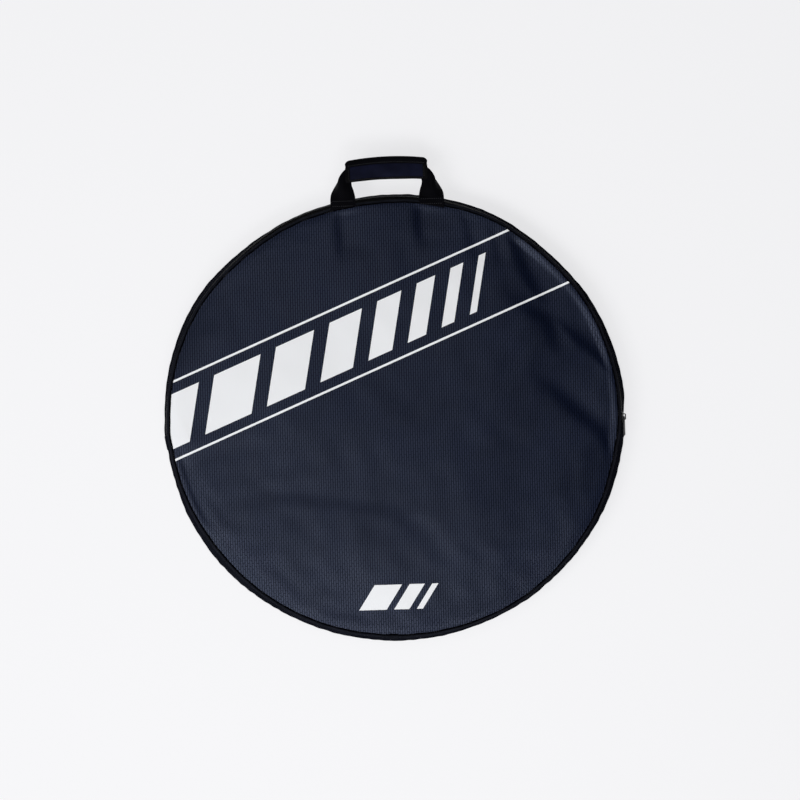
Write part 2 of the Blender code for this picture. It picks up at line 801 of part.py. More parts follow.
def grip_frame():
    """Outline x is towards the handle's outer edge, outline y is up, depth is along the bag's X."""
    turn = Matrix(((0, 0, 1), (1, 0, 0), (0, 1, 0))).to_4x4()
    return Matrix.Translation((0, GRIP_Y, GRIP_Z)) @ turn


def corner_arc(centre, radius, start):
    points = []
    for step in range(CORNER_STEPS + 1):
        angle = start - math.pi / 2 * step / CORNER_STEPS
        points.append((centre[0] + radius * math.cos(angle), centre[1] + radius * math.sin(angle)))
    return points


def pill(half_width, half_height, corner, start=None):
    """A rounded rectangle, clockwise from a point on its top."""
    across = half_width - corner
    up = half_height - corner
    points = [] if start is None else [(start, half_height)]
    points += corner_arc((across, up), corner, math.pi / 2)
    points += corner_arc((across, -up), corner, 0)
    points += corner_arc((-across, -up), corner, -math.pi / 2)
    points += corner_arc((-across, up), corner, math.pi)
    return points


COVER_HALF_WIDTH = GRIP_WIDTH / 2 - GRIP_BAND - GAP
COVER_HALF_HEIGHT = GRIP_FOAM_HALF_HEIGHT + GAP + GRIP_COVER
LOOP_LOW = COVER_HALF_HEIGHT + GAP
HOOK_LOW = LOOP_LOW + CLOSURE_STRIP + GAP
LEAF_LOW = HOOK_LOW + CLOSURE_STRIP + GAP
LEAF_TOP = LEAF_LOW + LEAF
LEAF_SKIN_TOP = LEAF_TOP + GAP + LEAF_BINDING
LEAF_SKIN_LOW = LEAF_LOW - GAP - LEAF_BINDING
BAND_START = GRIP_WIDTH / 2 - BAND_REACH
LEAF_EDGE = BAND_START - GAP - LEAF_AXIS_GAP
LEAF_AXIS = (BAND_START - GAP, LEAF_SKIN_TOP + GAP)
GRIP_HALF_LENGTH = GRIP_LENGTH / 2
GRIP_FOAM_HALF_LENGTH = GRIP_HALF_LENGTH - GRIP_FOAM_END_INSET
GRIP_COVER_HALF_LENGTH = GRIP_HALF_LENGTH - GRIP_COVER_END_INSET
CLOSURE_HALF_LENGTH = GRIP_HALF_LENGTH - LEAF_END_BINDING_WIDTH - CLOSURE_END_MARGIN


def build_grip(pivot):
    frame = grip_frame()
    foam_half_width = COVER_HALF_WIDTH - GRIP_COVER - GAP
    foam = slab(
        pill(foam_half_width, GRIP_FOAM_HALF_HEIGHT, GRIP_FOAM_CORNER),
        -GRIP_FOAM_HALF_LENGTH,
        GRIP_FOAM_HALF_LENGTH,
        frame,
    )
    core_half_width = WEBBING_WIDTH * FOLDED_SHARE / 2 + CORE_ROOM
    core_half_height = FOLDED_WEBBING / 2 + CORE_ROOM
    bore_end = GRIP_FOAM_HALF_LENGTH + OVERRUN
    bore_low = (-core_half_width, -core_half_height, -bore_end)
    bore_high = (core_half_width, core_half_height, bore_end)
    bore = box(bore_low, bore_high, frame)
    combine("grip_foam", [foam, bore], "grey_foam", "DIFFERENCE", pivot)

    corner = GRIP_FOAM_CORNER + GAP
    outer_corner = corner + GRIP_COVER
    right = COVER_SLIT_Y + COVER_SLIT / 2
    left = COVER_SLIT_Y - COVER_SLIT / 2
    outer = pill(COVER_HALF_WIDTH, COVER_HALF_HEIGHT, outer_corner, right)
    outer.append((left, COVER_HALF_HEIGHT))
    inner_half_width = COVER_HALF_WIDTH - GRIP_COVER
    inner_half_height = COVER_HALF_HEIGHT - GRIP_COVER
    inner = pill(inner_half_width, inner_half_height, corner, right)
    inner.append((left, inner_half_height))
    length = GRIP_COVER_HALF_LENGTH
    make_object("grip_cover", slab(outer + inner[::-1], -length, length, frame), "grip_fabric", pivot)

    band_half = GRIP_WIDTH / 2
    band_top = LEAF_SKIN_TOP - GAP
    band_corner = band_half - BAND_START - GRIP_BAND
    band = [(BAND_START, band_top)]
    band += corner_arc((band_half - band_corner, band_top - band_corner), band_corner, math.pi / 2)
    band.append((band_half, -BAND_FOOT))
    band.append((COVER_HALF_WIDTH + GAP, -BAND_FOOT))
    seat_corner = outer_corner + GAP
    seat = (COVER_HALF_WIDTH + GAP - seat_corner, COVER_HALF_HEIGHT + GAP - seat_corner)
    band += corner_arc(seat, seat_corner, math.pi / 2)[::-1]
    band.append((BAND_START, COVER_HALF_HEIGHT + GAP))
    make_object("grip_band", slab(band, -GRIP_HALF_LENGTH, GRIP_HALF_LENGTH, frame), "black_webbing", pivot)

    strip_low = (CLOSURE_Y - CLOSURE_WIDTH / 2, LOOP_LOW, -CLOSURE_HALF_LENGTH)
    strip_high = (CLOSURE_Y + CLOSURE_WIDTH / 2, LOOP_LOW + CLOSURE_STRIP, CLOSURE_HALF_LENGTH)
    make_object("grip_loop_strip", box(strip_low, strip_high, frame), "hook_and_loop", pivot)


def build_leaf(pivot):
    frame = grip_frame()
    edge = -GRIP_WIDTH / 2
    half_length = GRIP_HALF_LENGTH
    rim = GAP + LEAF_BINDING
    leaf_low = (edge + rim, LEAF_LOW, rim - half_length)
    leaf_high = (LEAF_EDGE, LEAF_TOP, half_length - rim)
    make_object("grip_leaf", box(leaf_low, leaf_high, frame), "grip_fabric", pivot)

    skin_low = (edge, LEAF_SKIN_LOW, -half_length)
    skin_high = (LEAF_EDGE, LEAF_SKIN_TOP, half_length)
    pocket_low = (edge + LEAF_BINDING, LEAF_LOW - GAP, LEAF_BINDING - half_length)
    pocket_high = (LEAF_EDGE + OVERRUN, LEAF_TOP + GAP, half_length - LEAF_BINDING)
    window_end = half_length - LEAF_END_BINDING_WIDTH
    window_low = (edge + LEAF_BINDING_WIDTH, LEAF_SKIN_LOW - OVERRUN, -window_end)
    window_high = (LEAF_EDGE + OVERRUN, LEAF_SKIN_TOP + OVERRUN, window_end)
    shapes = [
        box(skin_low, skin_high, frame),
        box(pocket_low, pocket_high, frame),
        box(window_low, window_high, frame),
    ]
    combine("grip_leaf_binding", shapes, "black_binding", "DIFFERENCE", pivot)

    strip_low = (CLOSURE_Y - CLOSURE_WIDTH / 2, HOOK_LOW, -CLOSURE_HALF_LENGTH)
    strip_high = (CLOSURE_Y + CLOSURE_WIDTH / 2, HOOK_LOW + CLOSURE_STRIP, CLOSURE_HALF_LENGTH)
    make_object("grip_hook_strip", box(strip_low, strip_high, frame), "hook_and_loop", pivot)


def build_bag():
    fold_height = panel_height(0) + FOLD_LIFT
    flap = make_empty("flap_fold_axis", (0, FOLD_Y, fold_height))
    handle = make_empty("handle_fold_axis", (0, STRAP_Y, STRAP_Z), flap)
    leaf_place = grip_frame() @ Vector((LEAF_AXIS[0], LEAF_AXIS[1], 0))
    leaf = make_empty("grip_leaf_axis", leaf_place, handle)
    slider = make_empty("zip_slider_axis", (0, 0, ZIP_HEIGHT))
    pull = make_empty("zip_pull_axis", pull_axis_place(), slider)
    floor = build_rear_panel()
    build_wall(floor)
    build_bindings(flap)
    build_front_panel(flap)
    build_zip(flap)
    build_slider(slider)
    build_pull(pull)
    build_webbing(handle)
    build_grip(handle)
    build_leaf(leaf)
    bpy.context.view_layer.update()
    for empty in (flap, handle, leaf, slider, pull):
        place = empty.matrix_world.translation
        print(empty.name, [round(value, 5) for value in place])


build_bag()
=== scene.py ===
# %% [markdown]
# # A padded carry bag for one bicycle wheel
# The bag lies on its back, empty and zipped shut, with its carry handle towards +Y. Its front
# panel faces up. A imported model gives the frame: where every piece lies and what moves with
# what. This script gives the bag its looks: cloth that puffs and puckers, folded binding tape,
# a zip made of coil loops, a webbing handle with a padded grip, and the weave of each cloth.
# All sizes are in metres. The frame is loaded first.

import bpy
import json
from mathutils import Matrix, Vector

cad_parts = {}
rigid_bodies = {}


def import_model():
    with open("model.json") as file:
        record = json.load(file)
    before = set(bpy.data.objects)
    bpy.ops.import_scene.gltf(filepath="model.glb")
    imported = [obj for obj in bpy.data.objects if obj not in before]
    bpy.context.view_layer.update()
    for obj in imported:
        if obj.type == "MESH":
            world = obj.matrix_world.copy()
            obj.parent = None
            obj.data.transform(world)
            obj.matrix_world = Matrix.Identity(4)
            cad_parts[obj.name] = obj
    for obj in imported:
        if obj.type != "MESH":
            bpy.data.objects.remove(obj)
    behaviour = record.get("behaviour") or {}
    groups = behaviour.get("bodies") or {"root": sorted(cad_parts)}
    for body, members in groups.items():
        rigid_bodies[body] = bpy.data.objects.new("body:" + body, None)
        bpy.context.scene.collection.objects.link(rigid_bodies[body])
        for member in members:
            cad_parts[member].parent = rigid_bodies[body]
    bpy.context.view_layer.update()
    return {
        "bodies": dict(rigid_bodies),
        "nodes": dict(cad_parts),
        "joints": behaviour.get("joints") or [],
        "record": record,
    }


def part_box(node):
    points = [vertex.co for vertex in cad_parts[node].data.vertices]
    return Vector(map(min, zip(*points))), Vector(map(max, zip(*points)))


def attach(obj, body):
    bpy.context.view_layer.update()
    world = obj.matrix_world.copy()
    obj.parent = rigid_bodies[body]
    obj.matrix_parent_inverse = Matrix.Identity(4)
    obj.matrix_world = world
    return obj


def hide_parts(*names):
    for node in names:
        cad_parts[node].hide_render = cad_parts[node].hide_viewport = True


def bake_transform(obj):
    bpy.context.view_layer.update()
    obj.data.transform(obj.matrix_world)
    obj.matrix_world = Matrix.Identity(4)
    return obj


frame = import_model()

# %% [markdown]
# Blender's own modules do the modelling, and numpy moves many points at once. The places that
# the bag's joints turn about are read from the frame, so that the handle's webbing is sewn down
# where the handle folds, and the zip's loops lie on the arc that the slider travels.

# %% Modules, and places read from the joints
import json
import math

import bpy
import numpy as np
from mathutils import Matrix, Vector

JOINTS = {joint["name"]: joint for joint in frame["joints"]}
STRAP_FOLD_Y = JOINTS["handle_fold"]["pos_m"][1]
ZIP_HEIGHT = JOINTS["zip_travel"]["pos_m"][2]
PULL_AXIS = JOINTS["pull_swing"]["axis"]
ZIP_LEAN = math.atan2(-PULL_AXIS[0], PULL_AXIS[2])

# %% [markdown]
# The camera looks straight down, as somebody would who stands over the bag. The bag lies turned
# by a degree or two in the picture and a little below its middle, so the camera is rolled and
# shifted, and the bag stays square in its own frame. One strap is 25 pixels wide, and it is
# 40 mm webbing, which gives the size of a pixel.

# %% Camera over the bag
IMAGE_PIXELS = 800
PIXEL = 0.0016
BAG_MIDDLE_PIXEL = (394.0, 423.7)
BAG_TURN = math.radians(1.75)
LENS = 85
SENSOR = 36
CAMERA_FOCUS_HEIGHT = 0.05


def place_camera():
    right = (IMAGE_PIXELS / 2 - BAG_MIDDLE_PIXEL[0]) * PIXEL
    up = (BAG_MIDDLE_PIXEL[1] - IMAGE_PIXELS / 2) * PIXEL
    x = right * math.cos(BAG_TURN) + up * math.sin(BAG_TURN)
    y = up * math.cos(BAG_TURN) - right * math.sin(BAG_TURN)
    distance = IMAGE_PIXELS * PIXEL / SENSOR * LENS
    bpy.ops.object.camera_add(location=(x, y, CAMERA_FOCUS_HEIGHT + distance))
    camera = bpy.context.object
    camera.rotation_euler = (0, 0, -BAG_TURN)
    camera.data.lens = LENS
    camera.data.sensor_width = SENSOR
    bpy.context.scene.camera = camera
    print("camera at", [round(value, 3) for value in camera.location])


place_camera()

# %% [markdown]
# Nearly all modelling here is done in edit mode with the same few steps: choose a piece alone,
# choose some of its points by their place, run an operator, and leave edit mode. These helpers
# keep those steps short. Points are read and written as one array of x, y and z.

# %% Helpers for editing
def only(piece):
    bpy.ops.object.select_all(action="DESELECT")
    piece.select_set(True)
    bpy.context.view_layer.objects.active = piece


def places_of(piece):
    places = np.empty(len(piece.data.vertices) * 3)
    piece.data.vertices.foreach_get("co", places)
    return places.reshape(-1, 3)


def set_places(piece, places):
    piece.data.vertices.foreach_set("co", np.asarray(places, float).ravel())
    piece.data.update()


def pick(piece, chosen):
    """Select the points that the mask names, and enter edit mode."""
    only(piece)
    mesh = piece.data
    mesh.polygons.foreach_set("select", np.zeros(len(mesh.polygons), bool))
    mesh.edges.foreach_set("select", np.zeros(len(mesh.edges), bool))
    mesh.vertices.foreach_set("select", np.asarray(chosen, bool))
    bpy.ops.object.mode_set(mode="EDIT")


def pick_all(piece):
    only(piece)
    bpy.ops.object.mode_set(mode="EDIT")
    bpy.ops.mesh.select_all(action="SELECT")


def leave():
    bpy.ops.object.mode_set(mode="OBJECT")


def outwards(piece):
    pick_all(piece)
    bpy.ops.mesh.normals_make_consistent(inside=False)
    leave()


def ease(share):
    share = np.clip(share, 0, 1)
    return share * share * (3 - 2 * share)


print("helpers ready")

# %% [markdown]
# Each material is a small tree of nodes. One helper adds a node with its settings and its
# links, and one turns the hex colours that people read off a screen into the linear values
# that the shader wants. Three more add the nodes that come up most: mixing two colours,
# computing with values, and mapping one range, given as its two ends, to another. Patterns are
# laid out in millimetres, so each thread has a real size. Cloth bends and moves, so its pattern
# follows the piece's own UV map, which holds metres along and across the cloth.

# %% Helpers for materials
def colour(code):
    values = [int(code[start:start + 2], 16) / 255 for start in (0, 2, 4)]
    linear = [v / 12.92 if v <= 0.04045 else ((v + 0.055) / 1.055) ** 2.4 for v in values]
    return (*linear, 1.0)


def add_node(tree, kind, inputs=None, **settings):
    made = tree.nodes.new("ShaderNode" + kind)
    for name, value in settings.items():
        setattr(made, name, value)
    for socket, value in (inputs or {}).items():
        if isinstance(value, bpy.types.NodeSocket):
            tree.links.new(value, made.inputs[socket])
        else:
            made.inputs[socket].default_value = value
    return made


def mix_colours(tree, share, first, second, blend="MIX"):
    inputs = {0: share, 6: first, 7: second}
    return add_node(tree, "Mix", inputs, data_type="RGBA", blend_type=blend).outputs[2]


def compute(tree, operation, *values):
    return add_node(tree, "Math", dict(enumerate(values)), operation=operation).outputs[0]


def map_range(tree, value, ends, result):
    inputs = {0: value, 1: ends[0], 2: ends[1], 3: result[0], 4: result[1]}
    return add_node(tree, "MapRange", inputs).outputs[0]


def new_material(name, **constants):
    """A material with a Principled shader whose constant sockets are set by name."""
    made = bpy.data.materials.new(name)
    made.use_nodes = True
    shader = made.node_tree.nodes["Principled BSDF"]
    for socket, value in constants.items():
        shader.inputs[socket.replace("_", " ")].default_value = value
    return made, made.node_tree, shader


def cloth_millimetres(tree, turn=0.0, stretch=(1, 1)):
    """The piece's UV map in millimetres, turned and stretched for a pattern."""
    uv = add_node(tree, "UVMap", uv_map="cloth")
    size = (1000 * stretch[0], 1000 * stretch[1], 1)
    mapping = add_node(tree, "Mapping", {"Vector": uv.outputs[0], "Scale": size})
    mapping.inputs["Rotation"].default_value = (0, 0, turn)
    return mapping.outputs[0]


print("navy as linear light:", [round(value, 4) for value in colour("202431")])

# %% [markdown]
# The panels are a coated nylon with a dobby weave: short raised ribs that run towards the
# handle and are set in staggered rows, like long thin bricks. The Brick Texture makes just that
# layout. The real ribs are about 1.2 mm apart, too fine to show from three metres, so they are
# drawn three times as coarse. Under them runs a fine plain weave for the close views. The
# coating gives a soft sheen on the raised ribs, and it differs from place to place, where the
# cloth has been pressed.

# %% Navy dobby cloth
RIB_SPACING = 3.7
RIB_LENGTH = 9.0
RIB_RISE = 0.10
RIB_GLOSS = 0.36
GROOVE_GLOSS = 0.10
THREAD_SPACING = 0.62
THREAD_RISE = 0.014
GROOVE_SHARE = 0.14
LENGTH_STRETCH = 2.0
WAVE_PERIOD_AT_SCALE_ONE = math.tau / 20
NOISE_ENDS = (0.32, 0.68)
PRESSED_PATCH = 85.0
PRESSED_SHADE = (0.86, 1.16)
PRESSED_ROUGHNESS = (0.36, 0.43)


def add_threads(tree, cloth, spacing):
    """A plain weave: waves of warp and weft laid over each other, from 0 to 1."""
    scale = WAVE_PERIOD_AT_SCALE_ONE / spacing
    warp = add_node(tree, "TexWave", {"Vector": cloth, "Scale": scale}, bands_direction="X")
    weft = add_node(tree, "TexWave", {"Vector": cloth, "Scale": scale}, bands_direction="Y")
    return compute(tree, "MULTIPLY", warp.outputs["Fac"], weft.outputs["Fac"])


def add_patches(tree, cloth, size, ends):
    """A smooth random value between two ends, in patches about that many mm wide."""
    inputs = {"Vector": cloth, "Scale": 1 / size, "Detail": 3.0, "Roughness": 0.55}
    noise = add_node(tree, "TexNoise", inputs)
    return map_range(tree, noise.outputs["Fac"], NOISE_ENDS, ends)


def add_dobby(tree, dark, light):
    """Colour, height in mm and gloss of the ribbed cloth.

    A brick's gaps are as wide at its ends as along its sides. The pattern is stretched along
    the rib, so that its end gaps come out shorter.
    """
    stretch = (1 / RIB_LENGTH, LENGTH_STRETCH / RIB_LENGTH)
    lengthways = cloth_millimetres(tree, math.pi / 2, stretch)
    inputs = {
        "Vector": lengthways,
        "Color1": colour(light),
        "Color2": colour(light),
        "Mortar": colour(dark),
        "Scale": 1.0,
        "Mortar Size": GROOVE_SHARE,
        "Mortar Smooth": 1.0,
        "Brick Width": LENGTH_STRETCH,
        "Row Height": RIB_SPACING / RIB_LENGTH,
    }
    ribs = add_node(tree, "TexBrick", inputs, offset=0.5)
    cloth = cloth_millimetres(tree)
    threads = add_threads(tree, cloth, THREAD_SPACING)
    fine = compute(tree, "MULTIPLY", threads, THREAD_RISE)
    height = compute(tree, "MULTIPLY_ADD", ribs.outputs["Fac"], -RIB_RISE, fine)
    shade = add_patches(tree, cloth, PRESSED_PATCH, PRESSED_SHADE)
    tone = mix_colours(tree, 1.0, ribs.outputs["Color"], shade, "MULTIPLY")
    gloss = map_range(tree, ribs.outputs["Fac"], (0.0, 1.0), (RIB_GLOSS, GROOVE_GLOSS))
    return tone, height, gloss


def add_bump(tree, shader, height):
    """Raise the surface by a height in mm."""
    bump = add_node(tree, "Bump", {"Height": height, "Strength": 1.0, "Distance": 0.001})
    tree.links.new(bump.outputs[0], shader.inputs["Normal"])


def make_dobby_nylon():
    made, tree, shader = new_material("coated_dobby_nylon")
    shader.inputs["Specular Tint"].default_value = colour("D2DFFF")
    tone, height, gloss = add_dobby(tree, "02040C", "0A1228")
    tree.links.new(tone, shader.inputs["Base Color"])
    tree.links.new(gloss, shader.inputs["Specular IOR Level"])
    rough = add_patches(tree, cloth_millimetres(tree), PRESSED_PATCH, PRESSED_ROUGHNESS)
    tree.links.new(rough, shader.inputs["Roughness"])
    add_bump(tree, shader, height)
    return made


DOBBY_NYLON = make_dobby_nylon()
print("made", DOBBY_NYLON.name)

# %% [markdown]
# The front panel carries a screen print: two pinstripes that rise to the right, and between
# them a row of slanted bars that get narrower, with a small echo of them near the bottom. The
# ink is an opaque white film, so it hides the navy and half fills the weave. A colour ramp with
# constant steps is a ruler: it is white between the marks of a list and black elsewhere, and
# its edges stay sharp however close the camera comes.

# %% The same cloth with its print
STRIPE_RISE = math.radians(22.6)
STRIPE_WIDTH = 0.0035
LOWER_STRIPE = 0.0907
UPPER_STRIPE = 0.2064
BAR_MARGIN = 0.0175
BAR_SLANT = math.radians(33)
BAR_START = -0.405
BAR_WIDTHS = (0.120, 0.082, 0.068, 0.055, 0.043, 0.032, 0.022, 0.013)
BAR_GAP = 0.0270
INKED_BUMP = 0.35
SMALL_MIDDLE = (-0.002, -0.2765)
SMALL_HEIGHT = 0.040
SMALL_BARS = ((-0.050, -0.006), (0.006, 0.030), (0.042, 0.052))


def ruler(tree, value, marks):
    """1 where the value lies between the two ends of one of the marks, and 0 elsewhere."""
    low = marks[0][0] - STRIPE_WIDTH
    high = marks[-1][1] + STRIPE_WIDTH
    ramp = add_node(tree, "ValToRGB", {"Fac": map_range(tree, value, (low, high), (0.0, 1.0))})
    ramp.color_ramp.interpolation = "CONSTANT"
    ramp.color_ramp.elements.remove(ramp.color_ramp.elements[1])
    ramp.color_ramp.elements[0].color = (0, 0, 0, 1)
    for start, end in marks:
        for place, shade in ((start, 1), (end, 0)):
            step = ramp.color_ramp.elements.new((place - low) / (high - low))
            step.color = (shade, shade, shade, 1)
    return ramp.outputs["Color"]


def slanted(tree, along, across, middle, slant):
    """The distance along, sheared so that what crosses it leans over."""
    above = compute(tree, "SUBTRACT", across, middle)
    return compute(tree, "MULTIPLY_ADD", above, -math.tan(slant), along)


def bar_marks():
    marks = []
    start = BAR_START
    for width in BAR_WIDTHS:
        marks.append((start, start + width))
        start += width + BAR_GAP
    return marks


def add_print(tree):
    """The ink's mask: stripes, the large bars between them, and the small bars."""
    uv = add_node(tree, "UVMap", uv_map="cloth")
    turned = add_node(tree, "Mapping", {"Vector": uv.outputs[0]})
    turned.inputs["Rotation"].default_value = (0, 0, -STRIPE_RISE)
    rising = add_node(tree, "SeparateXYZ", {0: turned.outputs[0]})
    level = add_node(tree, "SeparateXYZ", {0: uv.outputs[0]})
    half = STRIPE_WIDTH / 2
    lines = [(place - half, place + half) for place in (LOWER_STRIPE, UPPER_STRIPE)]
    band = [(LOWER_STRIPE + BAR_MARGIN, UPPER_STRIPE - BAR_MARGIN)]
    middle = (LOWER_STRIPE + UPPER_STRIPE) / 2
    leaning = slanted(tree, rising.outputs[0], rising.outputs[1], middle, BAR_SLANT)
    large = [ruler(tree, rising.outputs[1], band), ruler(tree, leaning, bar_marks())]
    rows = [(SMALL_MIDDLE[1] - SMALL_HEIGHT / 2, SMALL_MIDDLE[1] + SMALL_HEIGHT / 2)]
    echo = [(SMALL_MIDDLE[0] + start, SMALL_MIDDLE[0] + end) for start, end in SMALL_BARS]
    leaning = slanted(tree, level.outputs[0], level.outputs[1], SMALL_MIDDLE[1], BAR_SLANT)
    small = [ruler(tree, level.outputs[1], rows), ruler(tree, leaning, echo)]
    mask = ruler(tree, rising.outputs[1], lines)
    for row, bars in (large, small):
        mask = compute(tree, "MAXIMUM", mask, compute(tree, "MULTIPLY", row, bars))
    return mask


def make_printed_nylon():
    made = DOBBY_NYLON.copy()
    made.name = "printed_dobby_nylon"
    tree = made.node_tree
    shader = tree.nodes["Principled BSDF"]
    mask = add_print(tree)
    navy = shader.inputs["Base Color"].links[0].from_socket
    inked = mix_colours(tree, mask, navy, colour("FCFDFF"))
    tree.links.new(inked, shader.inputs["Base Color"])
    bump = shader.inputs["Normal"].links[0].from_node
    filled = map_range(tree, mask, (0.0, 1.0), (1.0, INKED_BUMP))
    tree.links.new(filled, bump.inputs["Strength"])
    return made


PRINTED_NYLON = make_printed_nylon()
print("bars end", [round(end, 3) for start, end in bar_marks()])

# %% [markdown]
# The black and navy pieces are six different cloths. The side wall is a plain woven nylon. The
# binding is a tape with cords woven across it, which show as fine ribs, and the grip's binding
# is a darker tape of the same kind. The handle is a thick webbing of polypropylene with slanted
# ribs. The zip tape is a tight twill, and the grip wears a navy nylon. One function lays a wave
# of ribs at any angle and spacing, with a fine weave on top. The table gives each cloth's dark
# and light tone, the spacing of its ribs in mm, their angle in degrees, their rise in mm, and
# its roughness and gloss. None of the blacks is glossy: each would mirror the pale floor along
# the bag's outline.

# %% Black cloths
FINE_THREAD = 0.5
WORN_PATCH = 30.0
WORN_SHADE = (0.75, 1.3)
# Painted shade on the rim binding: where across the tape it fades, and how dark it gets.
SEAM_PAINTED_SHADE_SPAN = (0.0020, 0.0036)
SEAM_PAINTED_SHADE_LEVEL = 0.12


def make_ribbed_cloth(name, dark, light, spacing, angle, rise, roughness, gloss):
    made, tree, shader = new_material(name, Roughness=roughness, Specular_IOR_Level=gloss)
    inputs = {
        "Vector": cloth_millimetres(tree, math.radians(angle)),
        "Scale": WAVE_PERIOD_AT_SCALE_ONE / spacing,
        "Distortion": 0.25,
        "Detail": 1.0,
        "Detail Scale": 2.0,
    }
    ribs = add_node(tree, "TexWave", inputs, bands_direction="X").outputs["Fac"]
    cloth = cloth_millimetres(tree)
    tone = mix_colours(tree, ribs, colour(dark), colour(light))
    shade = add_patches(tree, cloth, WORN_PATCH, WORN_SHADE)
    worn = mix_colours(tree, 1.0, tone, shade, "MULTIPLY")
    tree.links.new(worn, shader.inputs["Base Color"])
    fine = compute(tree, "MULTIPLY", add_threads(tree, cloth, FINE_THREAD), rise / 4)
    add_bump(tree, shader, compute(tree, "MULTIPLY_ADD", ribs, rise, fine))
    return made


CLOTHS = (
    ("black_pack_nylon", "0E0F15", "1C1E26", 1.3, 0, 0.08, 0.85, 0.0),
    ("ribbed_binding_tape", "0B0C12", "20222A", 1.7, 0, 0.22, 0.75, 0.03),
    ("grip_binding_tape", "040405", "0C0C0F", 1.7, 0, 0.2, 0.7, 0.05),
    ("handle_webbing_tape", "030305", "0B0B10", 2.6, 52, 0.3, 0.65, 0.03),
    ("zip_tape_twill", "0A0A0C", "161619", 1.0, 60, 0.07, 0.7, 0.02),
    ("grip_wrap_nylon", "060817", "0E1128", 1.1, 90, 0.07, 0.65, 0.07),
)
MADE_CLOTHS = [make_ribbed_cloth(*values) for values in CLOTHS]
WALL_NYLON, BINDING_TAPE, GRIP_TAPE, WEBBING_TAPE, ZIP_TWILL, GRIP_NYLON = MADE_CLOTHS


def make_binding_with_painted_shade():
    """Binding tape with painted shade: its stitched inner strip is painted darker and duller."""
    made = BINDING_TAPE.copy()
    made.name = "rim_binding_tape"
    tree = made.node_tree
    shader = tree.nodes["Principled BSDF"]
    uv = add_node(tree, "UVMap", uv_map="cloth")
    across = add_node(tree, "SeparateXYZ", {0: uv.outputs[0]}).outputs[1]
    # Painted shade: colour and gloss fall off towards the tape's stitched inner edge.
    shade = map_range(tree, across, SEAM_PAINTED_SHADE_SPAN, (SEAM_PAINTED_SHADE_LEVEL, 1.0))
    tone = shader.inputs["Base Color"].links[0].from_socket
    shaded = mix_colours(tree, 1.0, tone, shade, "MULTIPLY")
    tree.links.new(shaded, shader.inputs["Base Color"])
    full_gloss = shader.inputs["Specular IOR Level"].default_value
    gloss = compute(tree, "MULTIPLY", shade, full_gloss)
    tree.links.new(gloss, shader.inputs["Specular IOR Level"])
    return made


RIM_TAPE_PAINTED_SHADE = make_binding_with_painted_shade()
print("made", RIM_TAPE_PAINTED_SHADE.name, [made.name for made in MADE_CLOTHS])

# %% [markdown]
# The inside is lined with a thin grey taffeta, and stiff moulded discs guard it where a wheel's
# axle ends press. The zip's loops are drawn nylon wire, smooth and a little glossy. Its slider
# is cast zinc under black paint, worn to a paler grey on its high edges. The two halves of the
# grip's closure are a dense field of loops and a field of small hooks, and the foam in the grip
# is a field of cells, so one function makes all three.

# %% Lining, plastics, paint and closure tapes
THREAD_TWIST = 0.5
TAFFETA_VALUES = ("grey_taffeta", "6A6C72", "7C7E84", 1.6, 0, 0.03, 0.5, 0.16)


def make_coil_nylon():
    made, tree, shader = new_material("drawn_nylon_wire", Roughness=0.35, Specular_IOR_Level=0.2)
    inputs = {"Vector": cloth_millimetres(tree), "Scale": 0.9, "Detail": 1.0}
    noise = add_node(tree, "TexNoise", inputs)
    tone = mix_colours(tree, noise.outputs["Fac"], colour("101013"), colour("1E1E22"))
    tree.links.new(tone, shader.inputs["Base Color"])
    return made


def make_zinc_paint():
    name = "painted_zinc_casting"
    made, tree, shader = new_material(name, Roughness=0.42, Specular_IOR_Level=0.3)
    places = add_node(tree, "TexCoord").outputs["Object"]
    grain = add_node(tree, "TexNoise", {"Vector": places, "Scale": 1500.0, "Detail": 2.0})
    edge = add_node(tree, "NewGeometry").outputs["Pointiness"]
    worn = map_range(tree, edge, (0.52, 0.60), (0.0, 0.5))
    tone = mix_colours(tree, worn, colour("0C0C0E"), colour("4A4A4E"))
    tree.links.new(tone, shader.inputs["Base Color"])
    add_bump(tree, shader, compute(tree, "MULTIPLY", grain.outputs["Fac"], 0.02))
    return made


def make_guard_plastic():
    made, tree, shader = new_material("moulded_polyethylene", Specular_IOR_Level=0.4)
    places = add_node(tree, "TexCoord").outputs["Object"]
    grain = add_node(tree, "TexNoise", {"Vector": places, "Scale": 700.0, "Detail": 3.0})
    scuffs = add_node(tree, "TexNoise", {"Vector": places, "Scale": 45.0, "Detail": 4.0})
    tone = mix_colours(tree, scuffs.outputs["Fac"], colour("26262A"), colour("3A3A3E"))
    tree.links.new(tone, shader.inputs["Base Color"])
    rough = map_range(tree, scuffs.outputs["Fac"], (0.3, 0.7), (0.42, 0.6))
    tree.links.new(rough, shader.inputs["Roughness"])
    add_bump(tree, shader, compute(tree, "MULTIPLY", grain.outputs["Fac"], 0.05))
    return made


def make_celled(name, roughness, spacing, middle, edge, rise):
    """A field of hooks, loops or foam cells, one to each cell of a Voronoi pattern."""
    made, tree, shader = new_material(name, Roughness=roughness, Specular_IOR_Level=0.2)
    inputs = {"Vector": cloth_millimetres(tree), "Scale": 1 / spacing}
    away = add_node(tree, "TexVoronoi", inputs).outputs["Distance"]
    tone = mix_colours(tree, away, colour(middle), colour(edge))
    tree.links.new(tone, shader.inputs["Base Color"])
    add_bump(tree, shader, compute(tree, "MULTIPLY", away, rise))
    return made


def make_thread():
    name = "black_polyester_thread"
    made, tree, shader = new_material(name, Roughness=0.55, Specular_IOR_Level=0.35)
    inputs = {"Vector": cloth_millimetres(tree), "Scale": WAVE_PERIOD_AT_SCALE_ONE / THREAD_TWIST}
    twist = add_node(tree, "TexWave", inputs, bands_direction="DIAGONAL").outputs["Fac"]
    tone = mix_colours(tree, 0.35, colour("16161A"), colour("3C3C42"))
    tree.links.new(tone, shader.inputs["Base Color"])
    add_bump(tree, shader, compute(tree, "MULTIPLY", twist, 0.05))
    return made


